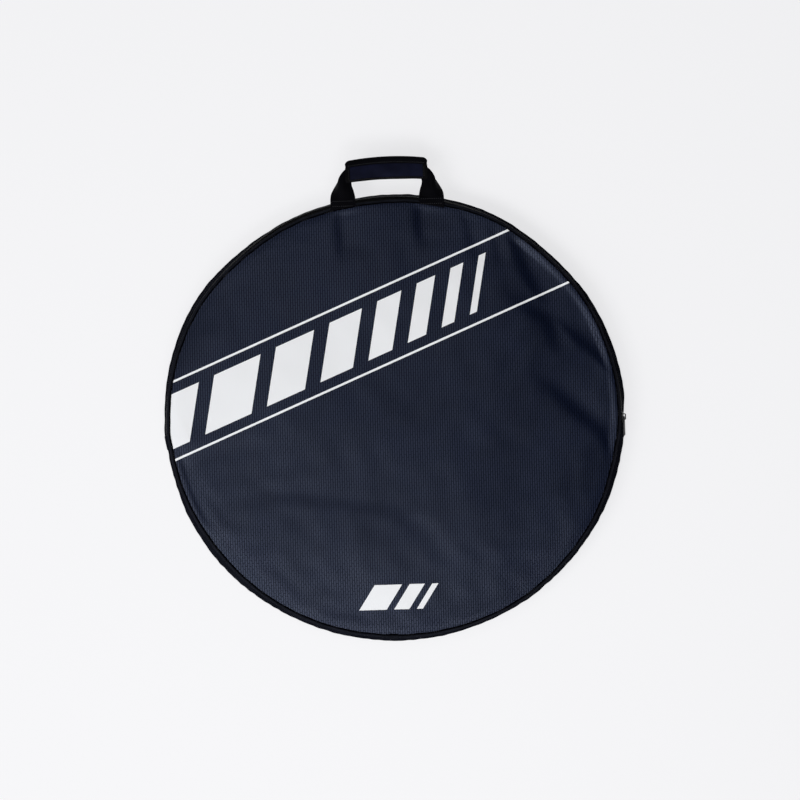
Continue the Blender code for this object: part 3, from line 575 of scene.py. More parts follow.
TAFFETA = make_ribbed_cloth(*TAFFETA_VALUES)
COIL_NYLON = make_coil_nylon()
ZINC_PAINT = make_zinc_paint()
GUARD_PLASTIC = make_guard_plastic()
HOOK_TAPE = make_celled("hook_tape", 0.8, 1.5, "2A2A2E", "0C0C0E", -0.5)
LOOP_TAPE = make_celled("loop_tape", 0.8, 0.7, "2A2A2E", "0C0C0E", -0.3)
FOAM = make_celled("closed_cell_foam", 0.9, 0.8, "5C5C60", "77777B", 0.2)
BLACK_THREAD = make_thread()
print("made", TAFFETA.name, COIL_NYLON.name, ZINC_PAINT.name, GUARD_PLASTIC.name)

# %% [markdown]
# The bag's rim is a stack of layers with one section all the way round: panel, binding, side
# wall and zip. Each is made as a dressmaker's ruler would draw it: its section is walked by
# extruding a single point, and then spun about the bag's middle. The sizes of the section come
# from the frame's boxes where they show there. Each seam has the radius at which its layers are
# cut off, and the one to which the binding's short leg is tucked in. The wall starts at the
# rear seam, swells out, and then leans in by the zip's angle, so a curve with two pulls
# describes it.

# %% Sizes of the rim
BINDING_LOW, BINDING_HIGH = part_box("front_edge_binding")
REAR_BINDING_LOW, REAR_BINDING_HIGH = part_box("rear_edge_binding")
PANEL_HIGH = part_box("front_panel_shell")[1]
GUARD_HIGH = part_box("front_hub_guard")[1]
REAR_GUARD_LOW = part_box("rear_hub_guard")[0]
LINING_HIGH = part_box("rear_panel_lining")[1]
LOWER_SHARE = -BINDING_LOW.y / BINDING_HIGH.x
FRONT_EDGE = BINDING_HIGH.x
FRONT_TOP = BINDING_HIGH.z
REAR_EDGE = REAR_BINDING_HIGH.x
SEAM_RADIUS = 0.3585
SEAM_HEIGHT = 0.0547
FRONT_CUT = 0.3612
REAR_CUT = 0.3632
FRONT_TUCK = 0.3611
REAR_TUCK = 0.3631
PANEL_RADIUS = 0.3573
CROWN = PANEL_HIGH.z - SEAM_HEIGHT
ZIP_TO_SEAM = 0.0165
ZIP_RADIUS = SEAM_RADIUS + ZIP_TO_SEAM * math.sin(ZIP_LEAN)
WALL_FOOT = (SEAM_RADIUS, 0.0047)
WALL_START = math.radians(40)
WALL_START_PULL = 0.009
WALL_END_PULL = 0.010
STRAIGHT_FROM = -0.014
WALL_CLOTH = 0.0012
ROUND_STEPS = 720
HALF_STEPS = 420
FLANGE_FOOT = 0.0036
FLANGE_TOP = 0.0528


def zip_section(across, out):
    """A point of the rim's section, from its distance up the wall and out of it."""
    radius = ZIP_RADIUS - across * math.sin(ZIP_LEAN) + out * math.cos(ZIP_LEAN)
    height = ZIP_HEIGHT + across * math.cos(ZIP_LEAN) + out * math.sin(ZIP_LEAN)
    return np.array((radius, height)).T


def wall_line(top, steps=14):
    """The line that the wall's layers are laid on, from the rear seam up to `top`."""
    start = np.array(WALL_FOOT)
    foot = zip_section(STRAIGHT_FROM, 0.0)
    first = start + WALL_START_PULL * np.array((math.cos(WALL_START), math.sin(WALL_START)))
    last = foot - WALL_END_PULL * np.array((-math.sin(ZIP_LEAN), math.cos(ZIP_LEAN)))
    share = np.linspace(0, 1, steps)[:, None]
    rest = 1 - share
    curve = rest ** 3 * start + 3 * rest ** 2 * share * first
    curve = curve + 3 * rest * share ** 2 * last + share ** 3 * foot
    straight = zip_section(np.linspace(STRAIGHT_FROM, top, 6)[1:], 0.0)
    return np.vstack((curve, straight))


def beside(line, out):
    """The line that runs beside a line of the section, moved outwards."""
    along = np.gradient(line, axis=0)
    along /= np.linalg.norm(along, axis=1)[:, None]
    return line + out * np.column_stack((along[:, 1], -along[:, 0]))


print("lower half drawn in to", round(LOWER_SHARE, 4), "of its height, zip at", round(ZIP_RADIUS, 4))

# %% [markdown]
# Spin copies the section in steps about the Z axis, and a full turn closes on itself. It turns
# clockwise for a positive angle, so the angle is negated. The UV map is written before the ring
# is moved at all: u is the length round the rim and v the length along the section, both in
# metres, so every weave keeps its size. Where a face straddles the start of the turn, its u
# would jump back by a whole turn, and the last lines close that jump.

# %% Helpers for rings of cloth
def trace(name, line, closed=True):
    """Walk a line of (radius, height) points by extruding one point after another."""
    bpy.ops.object.select_all(action="DESELECT")
    bpy.ops.mesh.primitive_plane_add(size=0.001)
    piece = bpy.context.object
    piece.name = name
    pick_all(piece)
    bpy.ops.mesh.merge(type="CENTER")
    bpy.ops.transform.translate(value=(line[0][0], 0, line[0][1]))
    for before, after in zip(line, line[1:]):
        step = (after[0] - before[0], 0, after[1] - before[1])
        bpy.ops.mesh.extrude_region_move(TRANSFORM_OT_translate={"value": step})
    leave()
    if closed:
        ends = np.zeros(len(line), bool)
        ends[[0, -1]] = True
        pick(piece, ends)
        bpy.ops.mesh.edge_face_add()
        leave()
    return piece


def write_uv(piece, u, v, round_u=None, round_v=None):
    """Store a UV map from one value of u and v at each point, in metres."""
    mesh = piece.data
    while mesh.uv_layers:
        mesh.uv_layers.remove(mesh.uv_layers[0])
    layer = mesh.uv_layers.new(name="cloth")
    corners = np.empty(len(mesh.loops), int)
    mesh.loops.foreach_get("vertex_index", corners)
    starts = np.empty(len(mesh.polygons), int)
    mesh.polygons.foreach_get("loop_start", starts)
    sizes = np.empty(len(mesh.polygons), int)
    mesh.polygons.foreach_get("loop_total", sizes)
    first = np.repeat(corners[starts], sizes)
    pair = []
    for values, around in ((u, round_u), (v, round_v)):
        laid = values[corners]
        if around:
            laid = laid - around * np.round((laid - values[first]) / around)
        pair.append(laid)
    layer.data.foreach_set("uv", np.column_stack(pair).ravel())


def ring(name, line, start=0.0, turn=math.tau, steps=ROUND_STEPS, closed=True):
    """Spin a section about the bag's middle, and lay its UV map."""
    line = np.array(line, float)
    piece = trace(name, line, closed)
    piece.data.transform(Matrix.Rotation(start, 4, "Z"))
    pick_all(piece)
    bpy.ops.mesh.spin(steps=steps, angle=-turn, center=(0, 0, 0), axis=(0, 0, 1))
    bpy.ops.mesh.select_all(action="SELECT")
    bpy.ops.mesh.remove_doubles(threshold=0.00001)
    if turn < math.tau and closed:
        bpy.ops.mesh.fill_holes(sides=0)
        bpy.ops.mesh.select_all(action="SELECT")
    if closed:
        bpy.ops.mesh.normals_make_consistent(inside=False)
    leave()
    places = places_of(piece)
    radius = np.hypot(places[:, 0], places[:, 1])
    angle = np.arctan2(places[:, 1], places[:, 0])
    lengths = np.concatenate(((0,), np.cumsum(np.linalg.norm(np.diff(line, axis=0), axis=1))))
    total = lengths[-1] + np.linalg.norm(line[0] - line[-1])
    section = np.column_stack((radius, places[:, 2]))
    nearest = np.argmin(np.linalg.norm(section[:, None] - line[None], axis=2), axis=1)
    middle = line[:, 0].max()
    write_uv(piece, angle * middle, lengths[nearest], math.tau * middle, total if closed else None)
    return piece


print("ring helper ready")

# %% [markdown]
# Sewn cloth is never even. A few waves of random length, added up, wander like a real seam: the
# line they make repeats after one turn, so it has no step. A slower wander comes from readings
# round the bag: an angle in degrees, and how far the front seam and the wall stand out there,
# in mm. Every layer of the rim takes the same wander, so they stay on top of each other. Along
# the zip most of it is held back, which keeps the slider's arc true, and at both ends of the
# slider's travel it fades out. The lower half of the bag is drawn in at the same time. A blend
# is given as the value at which it starts and the width over which it comes in.

# %% Wander of the rim
RIM_WANDER = 0.0006
RIM_LIFT = 0.0009
SLIDER_CALM = 0.06
TRACK_HOLD = 0.8
TRACK_LOW = (0.0255, 0.007)
TRACK_HIGH = (0.0405, 0.007)
FRONT_BLEND = (0.034, 0.017)
FOOT_BLEND = (0.006, 0.012)
READING_BLEND = (0.25, 0.10)
WANDER_BLEND = (0.31, 0.04)
SMOOTHING = 27
RIM_READINGS = (
    (-170, -3.0, -4.5), (-145, -7.0, -2.0), (-120, -2.2, -0.8), (-90, 3.0, 4.9), (-60, 3.2, 1.6),
    (-30, -3.0, -2.0), (-12, -4.0, -0.5), (15, 4.0, 6.1), (40, 1.6, 1.5), (65, 1.8, 2.3),
    (90, -5.2, -0.8), (116, -4.4, -3.0), (140, 1.7, 5.4), (165, 3.2, 4.2),
)


def waver(angle, seed, fewest, most, count=8):
    """A random line round the rim with that many waves a turn, about one unit high."""
    chance = np.random.default_rng(seed)
    total = np.zeros_like(angle)
    for _ in range(count):
        waves = chance.integers(fewest, most + 1)
        total += np.sin(waves * angle + chance.uniform(0, math.tau))
    return total / math.sqrt(count / 2)


def blend_in(value, start, width):
    """0 up to the start, 1 from a width beyond it, and a soft passage between."""
    return ease((value - start) / width)


def push_out(piece, distance, lift=0.0):
    """Move points away from the bag's middle, and up."""
    places = places_of(piece)
    radius = np.maximum(np.hypot(places[:, 0], places[:, 1]), 0.001)
    places[:, :2] *= (1 + distance / radius)[:, None]
    places[:, 2] += lift
    set_places(piece, places)


def turn_of(piece):
    """Angle, radius and height of each point."""
    x, y, height = places_of(piece).T
    return np.arctan2(y, x), np.hypot(x, y), height


def rim_reading(angle, column):
    """One column of the readings, in metres, as a smooth curve over the whole turn."""
    readings = np.array(RIM_READINGS)
    degrees = np.arange(-180, 180)
    rough = np.interp(degrees, readings[:, 0], readings[:, column], period=360)
    window = np.hanning(SMOOTHING)
    smooth = np.convolve(np.tile(rough, 3), window / window.sum(), mode="same")[360:720]
    return np.interp(np.degrees(angle), degrees, smooth, period=360) / 1000


def out_of_round(angle, radius, height):
    """How far the rim stands out from a true circle, at the wall and at the front seam."""
    upper = blend_in(height, *FRONT_BLEND)
    wall = rim_reading(angle, 2) * blend_in(height, *FOOT_BLEND)
    track = blend_in(height, *TRACK_LOW) - blend_in(height, *TRACK_HIGH)
    held = 1 - np.where(angle > 0, TRACK_HOLD, 0) * track
    both = (1 - upper) * wall + upper * rim_reading(angle, 1)
    return both * held * blend_in(radius, *READING_BLEND)


def draw_in(piece):
    """Bring the lower half of the piece to its real height."""
    places = places_of(piece)
    places[:, 1] *= np.where(places[:, 1] < 0, LOWER_SHARE, 1)
    set_places(piece, places)


def settle(piece):
    """Give a layer of the rim its wander, and draw its lower half in."""
    angle, radius, height = turn_of(piece)
    off_stop = np.minimum(np.abs(angle), math.pi - np.abs(angle))
    calm = 1 - np.exp(-((off_stop / SLIDER_CALM) ** 2))
    push_out(piece, calm * out_of_round(angle, radius, height))
    share = calm * blend_in(radius, *WANDER_BLEND)
    raised = np.clip(height / SEAM_HEIGHT, 0, 1)
    away = share * RIM_WANDER * waver(angle, 3, 3, 14)
    push_out(piece, away, share * raised * RIM_LIFT * waver(angle, 5, 4, 11))
    draw_in(piece)


def fold_with_flap(piece):
    """Bake the piece's place into its points; nothing here bends it with the flap."""
    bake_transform(piece)


def dress(piece, material):
    """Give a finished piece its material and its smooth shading."""
    piece.data.materials.clear()
    piece.data.materials.append(material)
    only(piece)
    bpy.ops.object.shade_smooth_by_angle(angle=math.radians(40))
    print(piece.name, len(piece.data.polygons), "faces")


print("wander of the rim, mm:", 1000 * RIM_WANDER)

# %% [markdown]
# The binding is one folded tape, sewn through all layers of a seam. Its section is a soft U: a
# long leg that lies on the panel, a round back over the raw edges, and a short leg tucked under
# where the wall leaves the seam. The needle pulls the long leg down along a row of stitches, so
# it dips there and swells on both sides of the row. The rear seam has the same U, upside down.
# A short sleeve of the same tape covers the place at the bottom where the binding's ends meet.

# %% The two bound seams
BINDING = 0.0009
STITCH_INSET = 0.0013
STITCH_DIP = 0.0006
BACK_STEPS = 9
CORD_RISE = 0.00012
TAPE_WANDER = 0.00018
JOIN_ANGLE = math.radians(268.3)
JOIN_WIDTH = 0.014
JOIN_RISE = 0.0011


def binding_section(inner, edge, low, high, short_inner):
    """A closed U of tape with its long leg on top."""
    half = (high - low) / 2
    middle = (edge - half, low + half)
    turns = np.linspace(math.pi / 2, -math.pi / 2, BACK_STEPS)
    shares = np.array((0.0, 0.22, 0.5, 0.8))
    top = inner + (middle[0] - inner) * shares
    swell = np.array((-0.0003, -STITCH_DIP, 0.0002, 0.0003))
    back, inside = (
        [(middle[0] + reach * math.cos(turn), middle[1] + reach * math.sin(turn)) for turn in turns]
        for reach in (half, half - BINDING)
    )
    outer = list(zip(top, high + swell)) + back + [(short_inner, low)]
    leg = list(zip(top, high + swell - BINDING))[::-1]
    return outer + [(short_inner, low + BINDING)] + inside[::-1] + leg


def make_front_binding():
    section = binding_section(PANEL_RADIUS, FRONT_EDGE, BINDING_LOW.z, FRONT_TOP, FRONT_TUCK)
    piece = ring("front_binding", section)
    angle = turn_of(piece)[0]
    away = CORD_RISE * waver(angle, 21, 160, 320, 10) + TAPE_WANDER * waver(angle, 22, 30, 70)
    push_out(piece, away, CORD_RISE * waver(angle, 23, 60, 130))
    settle(piece)
    dress(piece, RIM_TAPE_PAINTED_SHADE)
    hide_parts("front_edge_binding", "flap_edge_binding")
    fold_with_flap(piece)


def make_rear_binding():
    low = REAR_BINDING_LOW.z
    high = REAR_BINDING_HIGH.z
    section = binding_section(PANEL_RADIUS, REAR_EDGE, low, high, REAR_TUCK)
    section = [(radius, low + high - height) for radius, height in section]
    piece = ring("rear_binding", section)
    angle = turn_of(piece)[0]
    away = CORD_RISE * waver(angle, 24, 160, 320, 10) + TAPE_WANDER * waver(angle, 25, 30, 70)
    push_out(piece, away)
    settle(piece)
    dress(piece, RIM_TAPE_PAINTED_SHADE)
    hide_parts("rear_edge_binding")
    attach(piece, "root")


def make_binding_join():
    """The short sleeve of tape that covers the place where the binding's two ends meet."""
    low = BINDING_LOW.z - JOIN_RISE
    high = FRONT_TOP + JOIN_RISE
    inner = PANEL_RADIUS - 0.0006
    section = binding_section(inner, FRONT_EDGE + JOIN_RISE, low, high, FRONT_TUCK)
    half = JOIN_WIDTH / 2 / FRONT_EDGE
    piece = ring("front_binding_join", section, JOIN_ANGLE - half, 2 * half, 10)
    settle(piece)
    dress(piece, RIM_TAPE_PAINTED_SHADE)
    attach(piece, "root")


make_front_binding()
make_rear_binding()
make_binding_join()

# %% [markdown]
# The side wall is a strip of plain black nylon with foam and lining behind it. The strip is
# longer than the seams it is sewn to, so it puckers into small upright folds between them: many
# short waves, which are widest half way up the wall and die away at its edges. Under the zip the
# strip stops at a turned edge; round the closed lower half it runs on to the front seam.

# %% Side wall cloth
WALL_SPLIT = 0.012
SPLIT_ANGLE = math.asin(WALL_SPLIT / ZIP_RADIUS)
UPPER_TURN = math.pi + 2 * SPLIT_ANGLE
LOWER_TURN = math.pi - 2 * SPLIT_ANGLE
WALL_TOP = -0.0064
LOWER_WALL_TOP = 0.0148
WALL_INSET = 0.0003
HEM_CLEARANCE = 0.0008
PUCKER = 0.00016


def pucker(piece, low, high, size, seed):
    """Push small upright folds into the wall, between two heights."""
    angle, radius, height = turn_of(piece)
    between = np.sin(math.pi * np.clip((height - low) / (high - low), 0, 1))
    waves = waver(angle, seed, 45, 150, 14) + 0.8 * waver(angle, seed + 1, 18, 44)
    outer = ease((radius - 0.350) / 0.008)
    push_out(piece, size * between * waves * outer)


def wall_section(top, flange):
    """Closed section of the wall's cloth, from its rear seam flange up to its top edge."""
    line = wall_line(top)
    inner = beside(line, WALL_INSET)
    outer = beside(line, WALL_INSET + WALL_CLOTH)
    rear = [(REAR_CUT, FLANGE_FOOT), (REAR_CUT, WALL_FOOT[1])]
    inner = [tuple(point) for point in inner if point[1] > rear[0][1] + HEM_CLEARANCE]
    outer = [tuple(point) for point in outer if point[1] > rear[1][1] + HEM_CLEARANCE]
    low = [rear[1], rear[0], (SEAM_RADIUS, rear[0][1])]
    return low + inner + flange + outer[::-1]


def make_upper_wall():
    edge = WALL_TOP + WALL_INSET
    turned_edge = zip_section(np.array((edge, edge)), np.array((0.0006, 0.0012)))
    section = wall_section(WALL_TOP, [tuple(point) for point in turned_edge])
    piece = ring("upper_wall", section, -SPLIT_ANGLE, UPPER_TURN, HALF_STEPS)
    pucker(piece, 0.005, 0.0305, PUCKER, 31)
    settle(piece)
    dress(piece, WALL_NYLON)
    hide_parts("gusset_top_shell")
    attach(piece, "root")


def make_lower_wall():
    flange = [(0.3600, FLANGE_TOP), (FRONT_CUT, 0.0527), (FRONT_CUT, 0.0519)]
    section = wall_section(LOWER_WALL_TOP, flange)
    piece = ring("lower_wall", section, math.pi + SPLIT_ANGLE, LOWER_TURN, HALF_STEPS)
    pucker(piece, 0.005, 0.051, PUCKER * 1.5, 35)
    settle(piece)
    dress(piece, WALL_NYLON)
    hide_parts("gusset_bottom_shell")
    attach(piece, "root")


make_upper_wall()
make_lower_wall()

# %% [markdown]
# Behind the cloth sits a strip of foam in a sleeve of lining. Its inner face swells a little
# between its edges, and it puckers with the wall.

# %% Padding of the side wall
PAD_THICKNESS = 0.0048
PAD_SWELL = 0.0011
PAD_PUCKER = 0.0004
PAD_STEPS = 300
PAD_FLOOR = LINING_HIGH.z + 0.0006
UPPER_PAD_TOP = -0.0128
LOWER_PAD_TOP = ZIP_TO_SEAM - 0.0045 - PAD_THICKNESS


def make_wall_pad(name, top, start, turn, seed, nodes):
    line = wall_line(top)
    line = line[line[:, 1] > PAD_FLOOR]
    swell = PAD_SWELL * np.sin(np.linspace(0, math.pi, len(line)))
    outer = beside(line, -0.0002)
    inner = beside(line, -PAD_THICKNESS) - np.column_stack((swell, np.zeros(len(line))))
    section = list(map(tuple, outer)) + list(map(tuple, inner[::-1]))
    piece = ring(name, section, start, turn, PAD_STEPS)
    pucker(piece, PAD_FLOOR, line[-1][1], PAD_PUCKER, seed)
    settle(piece)
    dress(piece, TAFFETA)
    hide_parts(*nodes)
    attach(piece, "root")


make_wall_pad(
    "upper_wall_pad", UPPER_PAD_TOP, -SPLIT_ANGLE, UPPER_TURN, 41,
    ("gusset_top_foam", "gusset_top_lining"),
)
make_wall_pad(
    "lower_wall_pad", LOWER_PAD_TOP, math.pi + SPLIT_ANGLE, LOWER_TURN, 43,
    ("gusset_bottom_foam", "gusset_bottom_lining"),
)

# %% [markdown]
# The zip has two woven tapes. The lower one is sewn behind the wall's edge, and the upper one
# runs up into the front seam. The upper tape belongs to the fixed part at both ends and to the
# flap in between, and it is made as one strip.

# %% Zip tapes
TAPE = 0.0008
TAPE_FOOT = -0.0125
TAPE_EDGE = 0.0011
UPPER_TAPE_TOP = 0.0150


def make_lower_tape():
    across = np.array((TAPE_FOOT, -0.0090, -0.0060, -0.0030, -TAPE_EDGE))
    back = [tuple(point) for point in zip_section(across, np.full(5, -TAPE))]
    face = [tuple(point) for point in zip_section(across, np.zeros(5))]
    piece = ring("lower_zip_tape", back + face[::-1], -SPLIT_ANGLE, UPPER_TURN, HALF_STEPS)
    settle(piece)
    dress(piece, ZIP_TWILL)
    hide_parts("zip_tape_lower")
    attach(piece, "root")


def make_upper_tape():
    across = np.array((TAPE_EDGE, 0.0030, 0.0060, 0.0090, 0.0120, UPPER_TAPE_TOP))
    back = [tuple(point) for point in zip_section(across, np.full(6, -TAPE))]
    face = [tuple(point) for point in zip_section(across, np.zeros(6))]
    flange = [(FRONT_CUT, FLANGE_TOP), (FRONT_CUT, 0.0521)]
    section = back + flange + face[::-1]
    piece = ring("upper_zip_tape", section, -SPLIT_ANGLE, UPPER_TURN, 560)
    settle(piece)
    dress(piece, ZIP_TWILL)
    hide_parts("zip_tape_upper", "zip_tape_end_left", "zip_tape_end_right")
    fold_with_flap(piece)


make_lower_tape()
make_upper_tape()

# %% [markdown]
# A coil zip has no separate teeth: a nylon wire is wound into hundreds of flat loops, sewn along
# each tape's edge, and the loops of one side fit between those of the other. One loop is shaped
# once, from a torus that is squeezed to the coil's height and slanted like a winding, with a
# wider head that hooks behind its neighbours. An Array repeats it in a straight row at the real
# pitch, and the row is then laid round the rim. The same helper lays stitches and patches,
# which are also modelled flat: along the rim, up the wall, and out of it.

# %% Rows laid round the rim, and the zip's coils
LOOP_PITCH = 0.0021
WIRE = 0.00035
LOOP_INNER = -0.0002
LOOP_OUTER = 0.0037
LOOP_LOW = 0.0003
LOOP_HIGH = 0.0025
LOOP_SLANT = 0.35
HEAD_LENGTH = 0.0008
HEAD_SWELL = 1.25


def modify(piece, name, kind, **settings):
    """Add a modifier with its settings."""
    made = piece.modifiers.new(name, kind)
    for key, value in settings.items():
        setattr(made, key, value)


def apply_all(piece):
    only(piece)
    for modifier in list(piece.modifiers):
        bpy.ops.object.modifier_apply(modifier=modifier.name)


def repeat(piece, count, pitch):
    """A straight row along X."""
    modify(
        piece, "row", "ARRAY", count=count, use_relative_offset=False,
        use_constant_offset=True, constant_offset_displace=(pitch, 0, 0),
    )
    apply_all(piece)


def lay_flat_uv(piece):
    places = places_of(piece)
    write_uv(piece, places[:, 0], places[:, 1])


def lay_round(piece, start, radius, section):
    """Bend a flat piece round the rim; section turns its y and z into radius and height."""
    places = places_of(piece)
    angle = start + places[:, 0] / radius
    at = section(places[:, 1], places[:, 2])
    laid = np.column_stack((at[:, 0] * np.cos(angle), at[:, 0] * np.sin(angle), at[:, 1]))
    set_places(piece, laid)


def make_coil(name, side, offset):
    """One half of the zip: side is -1 for the lower tape and 1 for the upper one."""
    middle = (LOOP_INNER + LOOP_OUTER) / 2 * side
    bpy.ops.object.select_all(action="DESELECT")
    bpy.ops.mesh.primitive_torus_add(
        location=(0, 0, 0),
        rotation=(0, math.pi / 2, 0),
        major_segments=12,
        minor_segments=5,
        major_radius=(LOOP_HIGH - LOOP_LOW) / 2 - WIRE,
        minor_radius=WIRE,
    )
    piece = bpy.context.object
    piece.name = name
    bpy.ops.object.transform_apply(location=True, rotation=True, scale=True)
    pick_all(piece)
    reach = (LOOP_OUTER - LOOP_INNER) / (LOOP_HIGH - LOOP_LOW)
    bpy.ops.transform.resize(value=(1, reach, 1))
    bpy.ops.transform.translate(value=(offset, middle, (LOOP_LOW + LOOP_HIGH) / 2))
    leave()
    places = places_of(piece)
    places[:, 0] += LOOP_SLANT * LOOP_PITCH * (places[:, 2] - LOOP_LOW) / (LOOP_HIGH - LOOP_LOW)
    head = np.abs(places[:, 1] - LOOP_INNER * side) < HEAD_LENGTH
    places[head, 0] = offset + (places[head, 0] - offset) * HEAD_SWELL
    set_places(piece, places)
    length = ZIP_RADIUS * UPPER_TURN - 0.004
    repeat(piece, int(length / LOOP_PITCH), LOOP_PITCH)
    lay_flat_uv(piece)
    lay_round(piece, -SPLIT_ANGLE + 0.002 / ZIP_RADIUS, ZIP_RADIUS, zip_section)
    settle(piece)
    dress(piece, COIL_NYLON)
    return piece


LOWER_COIL = make_coil("lower_coil", -1, 0.0)
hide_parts("zip_coil_lower")
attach(LOWER_COIL, "root")
UPPER_COIL = make_coil("upper_coil", 1, LOOP_PITCH / 2)
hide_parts("zip_coil_upper", "zip_coil_end_left", "zip_coil_end_right")
fold_with_flap(UPPER_COIL)

# %% [markdown]
# Each end of the zip is hidden under a patch of wall cloth with its edges turned under. A patch
# starts as a flat grid, gets a soft crown and a thickness, and its rim is rounded with a bevel.
# It is then laid over the zip's end with the row helper.

# %% Patches over the zip's ends
TAB_LOW = 0.0028
TAB_HALF_WIDTH = 0.009
TAB_START = 0.0098
TAB_END = 0.033
PATCH_THICKNESS = 0.0011
PATCH_ROUNDING = 0.0004
PATCH_CROWN = 0.0005
SHARP_ANGLE = math.radians(50)


def flat_cloth(name, length, width, cuts, thickness):
    """A grid of cloth in the XY plane, with its UV map in metres."""
    bpy.ops.object.select_all(action="DESELECT")
    bpy.ops.mesh.primitive_grid_add(x_subdivisions=cuts[0], y_subdivisions=cuts[1], size=1)
    piece = bpy.context.object
    piece.name = name
    places = places_of(piece)
    set_places(piece, places * (length, width, 1))
    lay_flat_uv(piece)
    modify(piece, "thickness", "SOLIDIFY", thickness=thickness, offset=0, use_even_offset=True)
    return piece


def round_rim(piece, width, segments=2):
    """Round the sharp edges of a piece that has its thickness."""
    modify(
        piece, "soft_edges", "BEVEL", width=width, segments=segments,
        limit_method="ANGLE", angle_limit=SHARP_ANGLE,
    )
    apply_all(piece)


def make_end_patch(name, side, node):
    length = TAB_END - TAB_START
    piece = flat_cloth(name, length, 2 * TAB_HALF_WIDTH, (14, 12), PATCH_THICKNESS)
    round_rim(piece, PATCH_ROUNDING)
    places = places_of(piece)
    edge = np.minimum(length / 2 - np.abs(places[:, 0]), TAB_HALF_WIDTH - np.abs(places[:, 1]))
    places[:, 2] += TAB_LOW + 0.0006 + PATCH_CROWN * ease(edge / 0.003)
    set_places(piece, places)
    middle = (TAB_START + TAB_END) / 2 / ZIP_RADIUS
    start = -middle if side > 0 else math.pi + middle
    lay_round(piece, start, ZIP_RADIUS, zip_section)
    settle(piece)
    dress(piece, WALL_NYLON)
    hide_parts(node)
    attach(piece, "root")


make_end_patch("right_end_patch", 1, "zip_end_tab_right")
make_end_patch("left_end_patch", -1, "zip_end_tab_left")

# %% [markdown]
# The front panel is one padded sheet: printed cloth over foam. Its face is a shallow dome that
# stands a little proud along the rim, where the foam pushes up against the seam. A disc with a
# grid inside gives even, square faces, which bend well: a circle of points is filled with a
# grid, and the inner points are smoothed. The bag has been folded and pressed in storage, so
# creases are listed: each has its two ends, a depth and a width. A crease falls steeply on its
# left, away from the light, and comes back slowly. Then a short cloth simulation settles the
# face. The foam gives way to only a share of that movement, and the back of the sheet stays
# where it was.

# %% Face of the front panel
RIM_POINTS = 400
GRID_SMOOTHING = 30
EDGE_PUFF = 0.0014
EDGE_SHOULDER = 0.006
EDGE_REACH = 0.030
SEAM_THICKNESS = 0.0012
FRONT_FOAM = 0.0051
FOAM_EDGE = 0.3560
FOAM_TAPER = 0.006
SETTLE_FRAMES = 20
FACE_HELD = 0.350
FOAM_GRIP = 0.2
FACE_GROWTH = 0.009
FACE_GIVE = 0.10
SOFT_WAVE = 0.0005
FINE_WAVE = 0.0001
CLOTH_SETTINGS = {
    "quality": 5,
    "mass": 0.2,
    "tension_stiffness": 15,
    "compression_stiffness": 15,
    "shear_stiffness": 5,
    "bending_stiffness": 5,
    "vertex_group_mass": "held",
    "shrink_min": -FACE_GROWTH,
    "shrink_max": -FACE_GROWTH,
}
CREASE_STEEPNESS = 4
CREASE_RETURN = 2.5
CREASE_END = 2.2
CREASES = (
    ((0.203, 0.275), (0.247, 0.160), 0.0070, 0.024),
    ((0.247, 0.160), (0.309, 0.117), 0.0074, 0.024),
    ((0.309, 0.117), (0.352, 0.070), 0.0066, 0.022),
    ((0.275, 0.028), (0.330, -0.022), 0.0064, 0.022),
    ((0.330, -0.022), (0.352, -0.065), 0.0056, 0.018),
    ((-0.082, 0.348), (-0.078, 0.292), 0.0044, 0.014),
    ((0.047, 0.350), (0.049, 0.312), 0.0042, 0.013),
    ((0.119, 0.330), (0.130, 0.285), 0.0026, 0.013),
    ((0.157, 0.318), (0.166, 0.280), 0.0024, 0.014),
    ((-0.342, -0.070), (-0.322, -0.140), 0.0028, 0.014),
    ((-0.190, -0.118), (-0.050, -0.140), 0.0008, 0.014),
    ((-0.268, 0.215), (-0.250, 0.160), 0.0012, 0.016),
)


def undulation(x, y, seed, size, count=14):
    """A random surface about one unit high, made of waves about `size` long."""
    chance = np.random.default_rng(seed)
    total = np.zeros_like(x)
    for _ in range(count):
        heading = chance.uniform(0, math.tau)
        reach = size * chance.uniform(0.7, 1.7)
        along = x * math.cos(heading) + y * math.sin(heading)
        total += np.sin(along * math.tau / reach + chance.uniform(0, math.tau))
    return total / math.sqrt(count / 2)


def crease_depth(x, y):
    """How far the creases sink the cloth: each falls steeply on its left and comes back slowly."""
    total = np.zeros_like(x)
    for start, end, depth, width in CREASES:
        run = np.array(end) - np.array(start)
        length = np.hypot(run[0], run[1])
        along = ((x - start[0]) * run[0] + (y - start[1]) * run[1]) / length
        across = ((y - start[1]) * run[0] - (x - start[0]) * run[1]) / length
        past = np.maximum(np.abs(along - length / 2) - length / 2, 0)
        fall = 1 / (1 + np.exp(-CREASE_STEEPNESS * across / width))
        back = np.exp(-np.maximum(across, 0) / (CREASE_RETURN * width))
        fade = np.exp(-((past / (CREASE_END * width)) ** 2))
        total = np.maximum(total, depth * fall * back * fade)
    return total


def face_height(x, y):
    """Height of the front face at a place of the round, not yet drawn in, panel."""
    radius = np.hypot(x, y)
    dome = SEAM_HEIGHT + CROWN * (1 - np.minimum(radius / PANEL_RADIUS, 1) ** 3)
    inset = np.maximum(PANEL_RADIUS - radius, 0)
    puff = EDGE_PUFF * (1 - np.exp(-inset / EDGE_SHOULDER)) * np.exp(-inset / EDGE_REACH)
    calm = ease(inset / 0.030)
    wave = SOFT_WAVE * undulation(x, y, 51, 0.17) + FINE_WAVE * undulation(x, y, 52, 0.055)
    return dome + puff + calm * wave - ease(inset / 0.012) * crease_depth(x, y)


